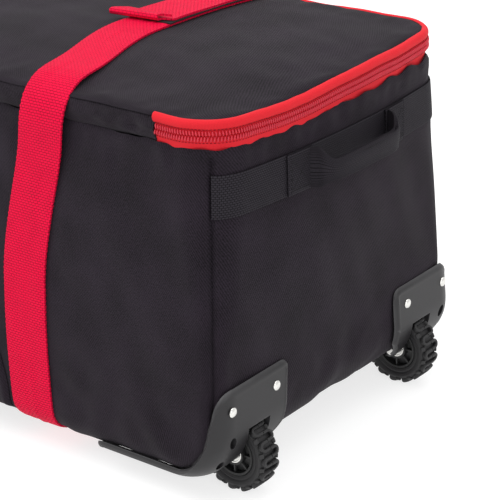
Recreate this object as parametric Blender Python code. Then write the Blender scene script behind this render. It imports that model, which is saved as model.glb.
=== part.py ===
"""Rolling duffel bag with a zipped lid, lashing straps and two end wheels.

Metres, +Z up.  The wheels are at the +X end, the lid hinges on the -Y side,
and the origin is on the floor under the middle of the bag.
"""
import math

import bmesh
import bpy
from mathutils import Matrix, Vector

# Bag body
HALF_LENGTH = 0.380
HALF_WIDTH_LOW = 0.186
HALF_WIDTH_TOP = 0.1725
LEAN_START = 0.062
BAG_BOTTOM = 0.024
SIDE_ROUND = 0.025
END_ROUND = 0.055
CORNER_LOW = 0.018
CORNER_TOP = 0.040
WALL = 0.003
TRAY_RIM = BAG_BOTTOM + END_ROUND
WALL_TOP = 0.3347
GAP = 0.0003
CORNER_STEPS = 6
TRAY_TURNS = (0, 15, 30, 45, 60, 75, 90)

# Lid and zip
ZIP_BOTTOM = WALL_TOP + GAP
ZIP_SPLIT = 0.3465
LID_UNDER = 0.357
LID_EDGE = 0.360
LID_CROWN = 0.010
ZIP_START_X = 0.318
TAPE = 0.0018
COIL_HALF_HEIGHT = 0.0048
COIL_DEPTH = 0.0024
LID_AXIS = (0.0, -(HALF_WIDTH_TOP + 0.0030), ZIP_SPLIT + GAP / 2)

# Zip sliders
SLIDER_X = 0.012
SLIDER_LENGTH = 0.014
SLIDER_HEIGHT = 0.015
SLIDER_DEPTH = 0.005
PULL_LENGTH = 0.034
PULL_WIDTH = 0.010
PULL_THICK = 0.002

# Webbing
STRAP_WIDTH = 0.0508
STRAP_THICK = 0.0022
STRAP_X = 0.166
FLAP_FREE_Y = -0.020
FLAP_HINGE_Y = 0.150
LID_STRAP_END_Y = 0.165
LID_STRAP_RISE = 0.0046
STRAP_LEAN_UP = ((0.200, 0.0), (0.285, 0.013), (0.335, 0.026), (0.360, 0.030))
STRAP_LEAN_BACK = ((-0.1725, 0.030), (-0.110, 0.017), (-0.045, 0.0))
BAND_WIDTH = 0.0381
BAND_MIDDLE_Z = 0.2915
BAND_THICK = 0.0018

# Haul handles
HANDLE_GRIP_HALF = 0.0095
HANDLE_THICK = 0.003
HANDLE_REACH = 0.0385
HANDLE_FOOT_Y = 0.0565
HANDLE_FOOT_OUT = 0.012
HANDLE_AXIS_OUT = 0.004
PATCH_INNER_Y = 0.0605
PATCH_OUTER_Y = 0.0915
PATCH_THICK = 0.003

# Wheels and their corner guards
WHEEL_RADIUS = 0.0375
WHEEL_WIDTH = 0.025
WHEEL_X = 0.362
WHEEL_Y = 0.130
LUGS = 20
TYRE_BORE = 0.0225
HUB_BORE = 0.0045
BEARING_OUTER = 0.0095
BEARING_WIDTH = 0.006
AXLE_RADIUS = 0.003
WELL_HALF = 0.0165
HOUSING_WALL = 0.0024
AXLE_REACH = WELL_HALF + HOUSING_WALL + GAP
AXLE_HEAD = 0.0012
AXLE_HEAD_STEP = 0.0015
HOUSING_BACK = WHEEL_X - WHEEL_RADIUS - 0.0055
HOUSING_TOP = 2 * WHEEL_RADIUS + 0.0055
HOUSING_FRONT = HALF_LENGTH - 0.0015
GUARD_GAP = 0.0004
GUARD_THICK = 0.006
GUARD_TRIM = 0.0015
GUARD_TOP = 0.117
GUARD_INNER_Y = 0.088
RAIL_TAIL_X = 0.236
RAIL_CORNER_X = 0.300
RAIL_TOP = 0.0325
NOTCH_HALF = 0.0155
NOTCH_TOP = 0.0720
RIVET_RADIUS = 0.0048
RIVET_SHANK = 0.0021
RIVET_Z = 0.0975
RIVET_OUTSET = (0.0170, 0.0795)

# Feet, base board and side pocket
FOOT_X = -0.300
FOOT_Y = 0.130
FOOT_SIZE = (0.070, 0.030)
BOARD_THICK = 0.003
POCKET_TOP = 0.244
POCKET_LOW = TRAY_RIM + 0.001
POCKET_THICK = 0.003
POCKET_HALF_LOW = 0.1265
POCKET_HALF_TOP = 0.0865
POCKET_ZIP_HEIGHT = 0.018
POCKET_SLIDER_X = 0.075

ROUND_STEPS = 32


def lerp(start, stop, share):
    """Return the value that lies share of the way from start to stop."""
    return start + (stop - start) * share


def clamp(value):
    """Return value held between 0 and 1."""
    return max(0.0, min(1.0, value))


def read_table(table, value):
    """Value read off a table of (place, value) rows, held at its two ends."""
    for (low, first), (high, second) in zip(table, table[1:]):
        if value < high:
            return lerp(first, second, clamp((value - low) / (high - low)))
    return table[-1][1]


# --- the bag's skin ---------------------------------------------------------

def half_width(z):
    """Half width of the bag, which leans in towards the top."""
    share = clamp((z - LEAN_START) / (WALL_TOP - LEAN_START))
    return lerp(HALF_WIDTH_LOW, HALF_WIDTH_TOP, share)


def corner_radius(z):
    """Radius of the upright corners, which grows towards the top."""
    share = clamp((z - LEAN_START) / (WALL_TOP - LEAN_START))
    return lerp(CORNER_LOW, CORNER_TOP, share)


def edge_inset(height, radius):
    """How far a rounded bottom edge is drawn in at a height above its lowest line."""
    if height >= radius:
        return 0.0
    return radius - math.sqrt(max(0.0, radius * radius - (radius - height) ** 2))


def skin_halves(z, offset):
    """Half length, half width and corner radius of the skin moved out by offset."""
    height = z - BAG_BOTTOM + offset
    half_x = HALF_LENGTH + offset - edge_inset(height, END_ROUND + offset)
    half_y = half_width(z) + offset - edge_inset(height, SIDE_ROUND + offset)
    return half_x, half_y, corner_radius(z) + offset


def side_point(x, z, offset, side):
    """Point of a long side's skin; side is -1 near and 1 far."""
    return Vector((x, side * skin_halves(z, offset)[1], z))


def end_point(y, z, offset, end):
    """Point of an end's skin; end is 1 at the wheels and -1 at the tow end."""
    return Vector((end * skin_halves(z, offset)[0], y, z))


def corner_point(angle, z, offset, end, side):
    """Point of an upright corner; angle 0 faces the side, 90 degrees faces the end."""
    half_x, half_y, radius = skin_halves(z, offset)
    x = half_x - radius + radius * math.sin(angle)
    y = half_y - radius + radius * math.cos(angle)
    return Vector((end * x, side * y, z))


def corner_run(z, offset, end, side, first, last, steps=CORNER_STEPS):
    """Points round an upright corner from one angle to another."""
    angles = [lerp(first, last, i / steps) for i in range(steps + 1)]
    return [corner_point(a, z, offset, end, side) for a in angles]


def outline(z, offset):
    """Closed plan outline of the skin, anticlockwise from the near right corner."""
    quarter = math.pi / 2
    points = corner_run(z, offset, 1, -1, 0.0, quarter)
    points += corner_run(z, offset, 1, 1, quarter, 0.0)
    points += corner_run(z, offset, -1, 1, 0.0, quarter)
    points += corner_run(z, offset, -1, -1, quarter, 0.0)
    return points


# --- mesh helpers -----------------------------------------------------------

def clear_scene():
    """Remove every object of the scene."""
    for item in list(bpy.data.objects):
        bpy.data.objects.remove(item, do_unlink=True)


def finish_material(name, colour, roughness, metallic=0.0):
    """Make a Principled material."""
    material = bpy.data.materials.new(name)
    material.use_nodes = True
    shader = material.node_tree.nodes["Principled BSDF"]
    shader.inputs["Base Color"].default_value = (*colour, 1.0)
    shader.inputs["Roughness"].default_value = roughness
    shader.inputs["Metallic"].default_value = metallic
    return material


def place(name, bm, material, origin=(0.0, 0.0, 0.0), smooth=False):
    """Turn a bmesh in world coordinates into a named object with its own origin."""
    bmesh.ops.recalc_face_normals(bm, faces=bm.faces)
    bmesh.ops.translate(bm, verts=bm.verts, vec=-Vector(origin))
    mesh = bpy.data.meshes.new(name)
    bm.to_mesh(mesh)
    bm.free()
    mesh.materials.append(material)
    if smooth:
        mesh.shade_smooth()
        mesh.set_sharp_from_angle(angle=math.radians(35))
    item = bpy.data.objects.new(name, mesh)
    item.location = origin
    bpy.context.scene.collection.objects.link(item)
    return item


def thick_grid(front, back):
    """Closed solid between two grids of points with the same rows and columns."""
    bm = bmesh.new()
    rows = len(front)
    cols = len(front[0])
    a = [[bm.verts.new(p) for p in row] for row in front]
    b = [[bm.verts.new(p) for p in row] for row in back]
    for i in range(rows - 1):
        for j in range(cols - 1):
            bm.faces.new((a[i][j], a[i + 1][j], a[i + 1][j + 1], a[i][j + 1]))
            bm.faces.new((b[i][j], b[i][j + 1], b[i + 1][j + 1], b[i + 1][j]))
        for j in (0, cols - 1):
            bm.faces.new((a[i][j], a[i + 1][j], b[i + 1][j], b[i][j]))
    for j in range(cols - 1):
        for i in (0, rows - 1):
            bm.faces.new((a[i][j], a[i][j + 1], b[i][j + 1], b[i][j]))
    return bm


def loft(rings):
    """Closed solid through rings of points, with a flat face on each end ring."""
    bm = bmesh.new()
    loops = [[bm.verts.new(p) for p in ring] for ring in rings]
    count = len(loops[0])
    for low, high in zip(loops, loops[1:]):
        for i in range(count):
            j = (i + 1) % count
            bm.faces.new((low[i], low[j], high[j], high[i]))
    bm.faces.new(loops[0])
    bm.faces.new(loops[-1])
    return bm


def turned(profile, centre, steps=ROUND_STEPS):
    """Ring turned about a Y axis from a closed profile of (radius, y) points."""
    bm = bmesh.new()
    loops = []
    for i in range(steps):
        turn = 2 * math.pi * i / steps
        loops.append([bm.verts.new(centre + Vector((r * math.sin(turn), y, r * math.cos(turn))))
                      for r, y in profile])
    count = len(profile)
    for i in range(steps):
        here = loops[i]
        there = loops[(i + 1) % steps]
        for j in range(count):
            k = (j + 1) % count
            bm.faces.new((here[j], here[k], there[k], there[j]))
    return bm


def pin(profile, centre, axis, steps=ROUND_STEPS):
    """Solid pin turned from (radius, height) points along an axis, flat at both ends."""
    turn = Vector((0, 0, 1)).rotation_difference(Vector(axis)).to_matrix()
    rings = []
    for radius, height in profile:
        rings.append([centre + turn @ Vector((radius * math.cos(2 * math.pi * i / steps),
                                              radius * math.sin(2 * math.pi * i / steps),
                                              height)) for i in range(steps)])
    return loft(rings)


def block(low, high, bevel=0.0):
    """Box between two corners, with bevelled edges if asked."""
    bm = bmesh.new()
    size = Vector(high) - Vector(low)
    middle = (Vector(high) + Vector(low)) / 2
    bmesh.ops.create_cube(bm, size=1.0, matrix=Matrix.Translation(middle) @ Matrix.Diagonal((*size, 1)))
    if bevel > 0:
        bmesh.ops.bevel(bm, geom=bm.edges[:], offset=bevel, segments=1, profile=0.5,
                        affect='EDGES', material=-1)
    return bm


def cutter(name, bm):
    """Hidden guide object that only cuts others."""
    tool = place(name, bm, finish_material(name, (0.5, 0.5, 0.5), 0.5))
    tool.hide_render = True
    tool.display_type = 'WIRE'
    return tool


def cut(item, tool, operation='DIFFERENCE'):
    """Cut a tool's shape out of an item, or keep only what lies inside it."""
    step = item.modifiers.new("by_" + tool.name, 'BOOLEAN')
    step.operation = operation
    step.solver = 'EXACT'
    step.object = tool


# --- the tub ----------------------------------------------------------------

def make_wall(name, stations, material):
    """Upright wall whose stations give (outer point, inner point) at a height."""
    levels = [lerp(TRAY_RIM + GAP, WALL_TOP, i / 3) for i in range(4)]
    outer = [stations(z, 0.0) for z in levels]
    inner = [stations(z, -WALL) for z in levels]
    return place(name, thick_grid(outer, inner), material)


def side_wall_stations(side):
    """Run of a long side, with half of each corner, clear of the end walls."""
    split = math.pi / 4 - 0.010

    def run(z, offset):
        points = corner_run(z, offset, -1, side, split, 0.0, 3)
        points += corner_run(z, offset, 1, side, 0.0, split, 3)
        return points
    return run


def end_wall_stations(end):
    """Run of an end, with half of each corner, clear of the long walls."""
    split = math.pi / 4 + 0.010

    def run(z, offset):
        points = corner_run(z, offset, end, -1, split, math.pi / 2, 3)
        points += corner_run(z, offset, end, 1, math.pi / 2, split, 3)
        return points
    return run


def tray_rings(offset):
    """Plan rings up the rounded bottom edge of the skin moved out by offset."""
    rise = END_ROUND + offset
    turns = [math.radians(a) for a in TRAY_TURNS]
    return [outline(BAG_BOTTOM - offset + rise * (1 - math.cos(a)), offset) for a in turns]


def make_bottom(material):
    """Shallow tray with rounded edges that closes the bag underneath."""
    rings = tray_rings(0.0) + list(reversed(tray_rings(-WALL)))
    return place("bottom_panel", loft(rings), material)


def make_base_board(material):
    """Stiff sheet that lies loose inside, on the bottom."""
    low = BAG_BOTTOM + WALL + GAP
    half_x = HALF_LENGTH - END_ROUND - 0.006
    half_y = HALF_WIDTH_LOW - SIDE_ROUND - 0.005
    bm = block((-half_x, -half_y, low), (half_x, half_y, low + BOARD_THICK))
    return place("base_board", bm, material)


# --- lid and zip ------------------------------------------------------------

def lid_top(x, y):
    """Height of the lid's crowned top."""
    along = 1 - abs(x / HALF_LENGTH) ** 4
    across = 1 - abs(y / HALF_WIDTH_TOP) ** 2.5
    return LID_EDGE + LID_CROWN * along * across


def lid_half_width(x):
    """Half width of the lid, which follows the rounded corners."""
    past = abs(x) - (HALF_LENGTH - CORNER_TOP)
    if past <= 0:
        return HALF_WIDTH_TOP
    return HALF_WIDTH_TOP - CORNER_TOP + math.sqrt(max(0.0, CORNER_TOP ** 2 - past ** 2))


def make_lid(material):
    """Crowned lid panel."""
    corner = [HALF_LENGTH - CORNER_TOP + CORNER_TOP * math.sin(math.radians(a))
              for a in (0, 22, 42, 60, 76, 90)]
    straight = [corner[0] * i / 5 for i in range(5)]
    right = straight + corner
    xs = [-x for x in reversed(right[1:])] + right
    shares = [math.sin(math.pi / 2 * i / 5) for i in range(-5, 6)]
    top = []
    under = []
    for x in xs:
        wide = lid_half_width(x)
        top.append([Vector((x, s * wide, lid_top(x, s * wide))) for s in shares])
        under.append([Vector((x, s * wide, lid_top(x, s * wide) - WALL)) for s in shares])
    return place("lid_panel", thick_grid(top, under), material, LID_AXIS)


def zip_path(z, offset):
    """Open run of the zip: near side, wheel end, far side, tow end, near side."""
    quarter = math.pi / 2
    points = [side_point(ZIP_START_X, z, offset, -1)]
    points += corner_run(z, offset, 1, -1, 0.0, quarter)
    points += corner_run(z, offset, 1, 1, quarter, 0.0)
    points += corner_run(z, offset, -1, 1, 0.0, quarter)
    points += corner_run(z, offset, -1, -1, quarter, 0.0)
    points += [side_point(-ZIP_START_X, z, offset, -1)]
    return points


def make_strip(name, path, low, high, inner, outer, material, origin=(0, 0, 0)):
    """Upright strip along a path of skin points."""
    front = [path(low, outer), path(high, outer)]
    back = [path(low, inner), path(high, inner)]
    return place(name, thick_grid(front, back), material, origin)


def make_zip(tape, teeth):
    """Two tapes and two halves of the coil, parted at the split line."""
    upper_split = ZIP_SPLIT + GAP
    upper_top = LID_UNDER - GAP
    make_strip("zip_tape_lower", zip_path, ZIP_BOTTOM, ZIP_SPLIT, -TAPE, 0.0, tape)
    make_strip("zip_tape_upper", zip_path, upper_split, upper_top, -TAPE, 0.0, tape, LID_AXIS)
    near = GAP
    far = GAP + COIL_DEPTH

    def coil_path(z, offset):
        return zip_path(z, offset)[1:-1]
    make_strip("zip_coil_lower", coil_path, ZIP_SPLIT - COIL_HALF_HEIGHT, ZIP_SPLIT,
               near, far, teeth)
    make_strip("zip_coil_upper", coil_path, upper_split, upper_split + COIL_HALF_HEIGHT,
               near, far, teeth, LID_AXIS)


def make_gusset(material):
    """Fabric hinge strip on the near side, in the half below and the half above the fold."""
    reach = ZIP_START_X - GAP

    def run(z, offset):
        return [side_point(x, z, offset, -1) for x in (-reach, 0.0, reach)]
    make_strip("hinge_gusset_lower", run, ZIP_BOTTOM, ZIP_SPLIT, -TAPE, 0.0, material)
    make_strip("hinge_gusset_upper", run, ZIP_SPLIT + GAP, LID_UNDER - GAP, -TAPE, 0.0, material,
               LID_AXIS)


def slider_face():
    """Y of the face that the sliders ride on, on the far side."""
    return HALF_WIDTH_TOP + COIL_DEPTH + 2 * GAP


def make_slider(number, direction, metal):
    """Zip slider on the far side with its hinged pull."""
    middle_x = direction * SLIDER_X
    face = slider_face()
    low = (middle_x - SLIDER_LENGTH / 2, face, ZIP_SPLIT - SLIDER_HEIGHT / 2)
    high = (middle_x + SLIDER_LENGTH / 2, face + SLIDER_DEPTH, ZIP_SPLIT + SLIDER_HEIGHT / 2)
    origin = (middle_x, face, ZIP_SPLIT)
    place(f"zip_slider_{number}", block(low, high, 0.0012), metal, origin)
    hinge = pull_hinge(direction)
    half = PULL_WIDTH / 2
    low = (hinge[0] - half, hinge[1] - PULL_THICK / 2, hinge[2] - PULL_LENGTH)
    high = (hinge[0] + half, hinge[1] + PULL_THICK / 2, hinge[2] + PULL_THICK / 2)
    place(f"zip_pull_{number}", block(low, high, 0.0005), metal, hinge)


def pull_hinge(direction):
    """Point on the hinge line of a zip pull."""
    y = slider_face() + SLIDER_DEPTH + GAP + PULL_THICK
    return (direction * SLIDER_X, y, ZIP_SPLIT + 0.004)


# --- webbing ----------------------------------------------------------------

def make_body_strap(name, middle_x, material):
    """Lashing strap down the near side, under the bag and up the far side."""
    angles = [math.radians(a) for a in (15, 30, 45, 60, 75, 90)]
    top = ZIP_BOTTOM - 0.001

    def section(offset):
        near = [(-half_width(z) - offset, z) for z in (top, 0.285, 0.200, 0.130, LEAN_START)]
        for a in reversed(angles):
            reach = HALF_WIDTH_LOW - SIDE_ROUND + (SIDE_ROUND + offset) * math.sin(a)
            drop = BAG_BOTTOM + SIDE_ROUND - (SIDE_ROUND + offset) * math.cos(a)
            near.append((-reach, drop))
        near.append((-HALF_WIDTH_LOW + SIDE_ROUND, BAG_BOTTOM - offset))
        return near + [(-y, z) for y, z in reversed(near)]
    return make_ribbon(name, section, middle_x, STRAP_WIDTH, GAP, GAP + STRAP_THICK, material)


def strap_lean(middle_x, y, z):
    """Sideways drift of a strap: outwards up the near side, then back over the lid."""
    if z < LID_EDGE:
        drift = read_table(STRAP_LEAN_UP, z) if y < 0 else 0.0
    else:
        drift = read_table(STRAP_LEAN_BACK, y)
    return math.copysign(drift, middle_x)


def make_ribbon(name, section, middle_x, width, inner, outer, material, origin=(0, 0, 0)):
    """Flat ribbon across the bag that follows a section of (y, z) points."""
    xs = (middle_x - width / 2, middle_x + width / 2)

    def edge(x, offset):
        return [Vector((x + strap_lean(middle_x, y, z), y, z)) for y, z in section(offset)]
    front = [edge(x, outer) for x in xs]
    back = [edge(x, inner) for x in xs]
    return place(name, thick_grid(front, back), material, origin)


def lid_strap_section(middle_x):
    """Section of the strap that is sewn over the lid."""
    def section(offset):
        low = ZIP_SPLIT + LID_STRAP_RISE
        side = -HALF_WIDTH_TOP - offset
        points = [(side, low), (side, LID_EDGE + offset)]
        ys = [lerp(-HALF_WIDTH_TOP + 0.004, LID_STRAP_END_Y, i / 10) for i in range(11)]
        for y in ys:
            x = middle_x + strap_lean(middle_x, y, LID_EDGE)
            points.append((y, lid_top(x, y) + offset))
        return points
    return section


def flap_section(middle_x):
    """Section of the strap's free upper layer."""
    def section(offset):
        ys = [lerp(FLAP_FREE_Y, FLAP_HINGE_Y, i / 6) for i in range(7)]
        return [(y, lid_top(middle_x, y) + offset) for y in ys]
    return section


def make_straps(material):
    """Both lashing straps, each with its lid part and its free flap."""
    for letter, side in (("a", 1), ("b", -1)):
        x = side * STRAP_X
        make_body_strap(f"strap_{letter}_body", x, material)
        make_ribbon(f"strap_{letter}_lid", lid_strap_section(x), x, STRAP_WIDTH,
                    GAP, GAP + STRAP_THICK, material, LID_AXIS)
        rise = 2 * GAP + STRAP_THICK
        make_ribbon(f"strap_{letter}_flap", flap_section(x), x, STRAP_WIDTH,
                    rise, rise + STRAP_THICK, material, flap_hinge(x))


def flap_hinge(x):
    """Point on the fold line of a strap flap."""
    rise = 2 * GAP + STRAP_THICK + STRAP_THICK / 2
    return (x, FLAP_HINGE_Y, lid_top(x, FLAP_HINGE_Y) + rise)


def make_band(name, end, material):
    """Flat webbing band across an end panel."""
    low = BAND_MIDDLE_Z - BAND_WIDTH / 2
    high = BAND_MIDDLE_Z + BAND_WIDTH / 2
    reach = half_width(high) - corner_radius(high)

    def run(z, offset):
        return [end_point(y, z, offset, end) for y in (-reach, 0.0, reach)]
    return make_strip(name, run, low, high, GAP, GAP + BAND_THICK, material)


def make_handle(prefix, end, material):
    """Haul handle: two sewn patches and the loop that swings between them."""
    foot = 2 * GAP + BAND_THICK
    low = BAND_MIDDLE_Z - BAND_WIDTH / 2 + 0.001
    high = BAND_MIDDLE_Z + BAND_WIDTH / 2 - 0.001
    for label, side in (("near", -1), ("far", 1)):
        def run(z, offset, side=side):
            return [end_point(side * y, z, offset, end) for y in (PATCH_INNER_Y, PATCH_OUTER_Y)]
        make_strip(f"{prefix}_handle_patch_{label}", run, low, high,
                   foot, foot + PATCH_THICK, material)
    route = [(HANDLE_FOOT_Y, HANDLE_FOOT_OUT), (0.0545, 0.022), (0.048, 0.030), (0.036, 0.0345),
             (0.018, HANDLE_REACH - HANDLE_THICK)]
    route = route + [(-y, out) for y, out in reversed(route)]
    shell = [(y + math.copysign(outer_shift(out), y), min(out + HANDLE_THICK, HANDLE_REACH))
             for y, out in route]
    zs = (BAND_MIDDLE_Z - HANDLE_GRIP_HALF, BAND_MIDDLE_Z + HANDLE_GRIP_HALF)
    inner = [[Vector((end * (HALF_LENGTH + out), y, z)) for y, out in route] for z in zs]
    outer = [[Vector((end * (HALF_LENGTH + out), y, z)) for y, out in shell] for z in zs]
    axis = (end * (HALF_LENGTH + HANDLE_AXIS_OUT), 0.0, BAND_MIDDLE_Z)
    return place(f"{prefix}_handle_loop", thick_grid(outer, inner), material, axis)


def outer_shift(out):
    """Sideways step of the loop's outer face, full at its feet and none at the grip."""
    return HANDLE_THICK * clamp((HANDLE_REACH - out) / (HANDLE_REACH - HANDLE_FOOT_OUT))


# --- wheels and guards ------------------------------------------------------

def wheel_centre(side):
    """Centre of a wheel."""
    return Vector((WHEEL_X, side * WHEEL_Y, WHEEL_RADIUS))


def make_tyre(name, side, material):
    """Rubber tyre with cross lugs."""
    bm = bmesh.new()
    centre = wheel_centre(side)
    half = WHEEL_WIDTH / 2
    loops = []
    for i in range(4 * LUGS):
        turn = 2 * math.pi * (i - 0.5) / (4 * LUGS)
        crest = WHEEL_RADIUS if i % 4 in (0, 1) else WHEEL_RADIUS - 0.003
        profile = [(TYRE_BORE, -half * 0.8), (crest - 0.005, -half), (crest, -half * 0.6),
                   (crest, half * 0.6), (crest - 0.005, half), (TYRE_BORE, half * 0.8)]
        loops.append([bm.verts.new(centre + Vector((r * math.sin(turn), y, -r * math.cos(turn))))
                      for r, y in profile])
    for i, here in enumerate(loops):
        there = loops[(i + 1) % len(loops)]
        for j in range(len(here)):
            k = (j + 1) % len(here)
            bm.faces.new((here[j], here[k], there[k], there[j]))
    return place(name, bm, material, centre)


def make_wheel(label, side, rubber, plastic, steel):
    """Tyre, hub, two bearings and the fixed axle of one wheel."""
    centre = wheel_centre(side)
    make_tyre(f"wheel_tyre_{label}", side, rubber)
    half = WHEEL_WIDTH / 2 - 0.002
    seat = BEARING_OUTER + GAP
    rim = TYRE_BORE - GAP
    step = half - BEARING_WIDTH - GAP
    profile = [(rim, -half), (rim, half), (seat, half), (seat, step), (HUB_BORE, step),
               (HUB_BORE, -step), (seat, -step), (seat, -half)]
    place(f"wheel_hub_{label}", turned(profile, centre), plastic, centre, smooth=True)
    bore = AXLE_RADIUS + GAP
    for place_name, way in (("inner", -side), ("outer", side)):
        start = way * (half - BEARING_WIDTH)
        stop = way * half
        ring = [(bore, start), (BEARING_OUTER, start), (BEARING_OUTER, stop), (bore, stop)]
        place(f"wheel_bearing_{label}_{place_name}", turned(ring, centre, 24), steel, centre,
              smooth=True)
    head = AXLE_RADIUS + AXLE_HEAD_STEP
    tip = AXLE_REACH + AXLE_HEAD
    axle = [(head, -tip), (head, -AXLE_REACH), (AXLE_RADIUS, -AXLE_REACH),
            (AXLE_RADIUS, AXLE_REACH), (head, AXLE_REACH), (head, tip)]
    place(f"wheel_axle_{label}", pin(axle, centre, (0, 1, 0), 16), steel, centre, smooth=True)


def make_housing(label, side, material):
    """Moulded cup over one wheel, open below and in front."""
    middle = side * WHEEL_Y
    outer_half = WELL_HALF + HOUSING_WALL
    bevel = 0.020

    def arch(back, top, low, front):
        return [(front, low), (front, top), (back + bevel, top), (back + 0.006, top - 0.007),
                (back, top - bevel), (back, low)]
    low = BAG_BOTTOM + 0.001
    shape = arch(HOUSING_BACK, HOUSING_TOP + HOUSING_WALL, low, HOUSING_FRONT)
    bm = loft([[Vector((x, middle + y, z)) for x, z in shape] for y in (-outer_half, outer_half)])
    cup = place(f"wheel_housing_{label}", bm, material)
    hollow = arch(HOUSING_BACK + HOUSING_WALL, HOUSING_TOP, low - 0.01, HOUSING_FRONT + 0.01)
    bm = loft([[Vector((x, middle + y, z)) for x, z in hollow] for y in (-WELL_HALF, WELL_HALF)])
    cut(cup, cutter(f"cut_well_{label}", bm))
    bore = pin([(AXLE_RADIUS + GAP, -0.03), (AXLE_RADIUS + GAP, 0.03)], wheel_centre(side),
               (0, 1, 0), 16)
    cut(cup, cutter(f"cut_axle_{label}", bore))
    skin = tray_rings(-GAP) + [outline(GUARD_TOP + 0.02, -GAP)]
    cut(cup, cutter(f"keep_inside_{label}", loft(skin)), 'INTERSECT')
    return cup


def well_cutter(label, side):
    """Opening that the wheel housing needs in the bag's skin."""
    half = WELL_HALF + HOUSING_WALL + 2 * GAP
    head = 0.002
    middle = side * WHEEL_Y
    bm = block((HOUSING_BACK - 2 * GAP, middle - half - head, -0.01),
               (HALF_LENGTH + 0.02, middle + half + head, HOUSING_TOP + HOUSING_WALL + 2 * GAP))
    return cutter(f"cut_skin_{label}", bm)


def section_height(turn, radius, offset):
    """Height on the rounded bottom edge, and then up the wall once turn is past 1."""
    if turn > 1:
        return BAG_BOTTOM + radius + (turn - 1) * 0.1
    return BAG_BOTTOM - offset + (radius + offset) * (1 - math.cos(turn * math.pi / 2))


def section_turn(z, radius):
    """The turn value at which the skin has a height; the inverse of section_height."""
    height = z - BAG_BOTTOM
    if height > radius:
        return 1 + (height - radius) / 0.1
    return math.acos(1 - height / radius) / (math.pi / 2)


def guard_stations():
    """Stations along a guard: where it is, its edge radius, and its low and high edge."""
    stations = []
    for i in range(5):
        x = lerp(RAIL_TAIL_X, RAIL_CORNER_X, i / 4)
        rise = 0.0 if i else -0.006
        stations.append(("side", x, SIDE_ROUND, BAG_BOTTOM + 0.0008, RAIL_TOP + rise))
    tops = (0.036, 0.050, 0.088, 0.106, 0.114, GUARD_TOP)
    for i, top in enumerate(tops):
        share = i / (len(tops) - 1)
        radius = lerp(SIDE_ROUND, END_ROUND, share)
        low = lerp(BAG_BOTTOM + 0.0008, BAG_BOTTOM + 0.003, share)
        stations.append(("corner", share * math.pi / 2, radius, low, top))
    edges = ((0.150, 0.003, 0.0), (0.118, 0.005, 0.0), (0.104, 0.012, 0.0),
             (0.095, 0.021, 0.002), (GUARD_INNER_Y, 0.036, 0.010))
    for y, lift, drop in edges:
        stations.append(("end", y, END_ROUND, BAG_BOTTOM + lift, GUARD_TOP - drop))
    return stations


def guard_point(station, share, offset, side):
    """Point of a guard's face at a station, share of the way up."""
    kind, value, radius, low, high = station
    turn = lerp(section_turn(low, radius), section_turn(high, radius), share)
    z = section_height(turn, radius, offset)
    if kind == "side":
        return side_point(value, z, offset, side)
    if kind == "corner":
        return corner_point(value, z, offset, 1, side)
    return end_point(side * value, z, offset, 1)


def make_guard(label, side, material):
    """Moulded corner guard: end plate, wrapped corner and skid rail in one piece."""
    shares = [i / 7 for i in range(8)]
    stations = guard_stations()
    outer = [[guard_point(s, v, GUARD_GAP + GUARD_THICK, side) for v in shares] for s in stations]
    inner = [[guard_point(s, v, -GUARD_TRIM, side) for v in shares] for s in stations]
    bm = thick_grid(outer, inner)
    bmesh.ops.triangulate(bm, faces=bm.faces[:])
    guard = place(f"corner_guard_{label}", bm, material)
    skin = tray_rings(GUARD_GAP) + [outline(GUARD_TOP + 0.02, GUARD_GAP)]
    cut(guard, cutter(f"cut_bag_{label}", loft(skin)))
    middle = side * WHEEL_Y
    slot = block((HOUSING_BACK - 0.002, middle - NOTCH_HALF, -0.02),
                 (HALF_LENGTH + 0.03, middle + NOTCH_HALF, NOTCH_TOP))
    cut(guard, cutter(f"cut_notch_{label}", slot))
    radius = AXLE_RADIUS + AXLE_HEAD_STEP + GAP
    reach = AXLE_REACH + AXLE_HEAD + GAP
    head = pin([(radius, -reach), (radius, reach)], wheel_centre(side), (0, 1, 0), 16)
    cut(guard, cutter(f"cut_axle_head_{label}", head))
    return guard


def make_rivets(label, side, skins, steel):
    """Two domed rivets through a guard and the end panel behind it."""
    face = HALF_LENGTH + GUARD_GAP + GUARD_THICK
    for number, outset in enumerate(RIVET_OUTSET, start=1):
        y = side * (half_width(RIVET_Z) - outset)
        centre = Vector((face + GAP, y, RIVET_Z))
        back = -(GUARD_THICK + GUARD_GAP + WALL + 0.002)
        rivet = [(RIVET_SHANK, back), (RIVET_SHANK, 0.0), (RIVET_RADIUS, 0.0),
                 (RIVET_RADIUS * 0.92, 0.0010), (RIVET_RADIUS * 0.55, 0.0021)]
        place(f"guard_rivet_{label}_{number}", pin(rivet, centre, (1, 0, 0), 16), steel, centre,
              smooth=True)
        hole = pin([(RIVET_SHANK + GAP, -0.03), (RIVET_SHANK + GAP, 0.01)], centre, (1, 0, 0), 16)
        tool = cutter(f"cut_rivet_{label}_{number}", hole)
        for item in skins:
            cut(item, tool)


# --- feet and pocket --------------------------------------------------------

def make_foot(label, side, material):
    """Moulded foot under the tow end."""
    half_x = FOOT_SIZE[0] / 2
    half_y = FOOT_SIZE[1] / 2
    top = BAG_BOTTOM - GAP
    low = (FOOT_X - half_x, side * FOOT_Y - half_y, 0.0)
    high = (FOOT_X + half_x, side * FOOT_Y + half_y, top)
    return place(f"tow_foot_{label}", block(low, high, 0.003), material)


def pocket_half(z):
    """Half length of the side pocket, which widens downwards."""
    share = clamp((z - POCKET_LOW) / (POCKET_TOP - POCKET_LOW))
    return lerp(POCKET_HALF_LOW, POCKET_HALF_TOP, share)


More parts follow.
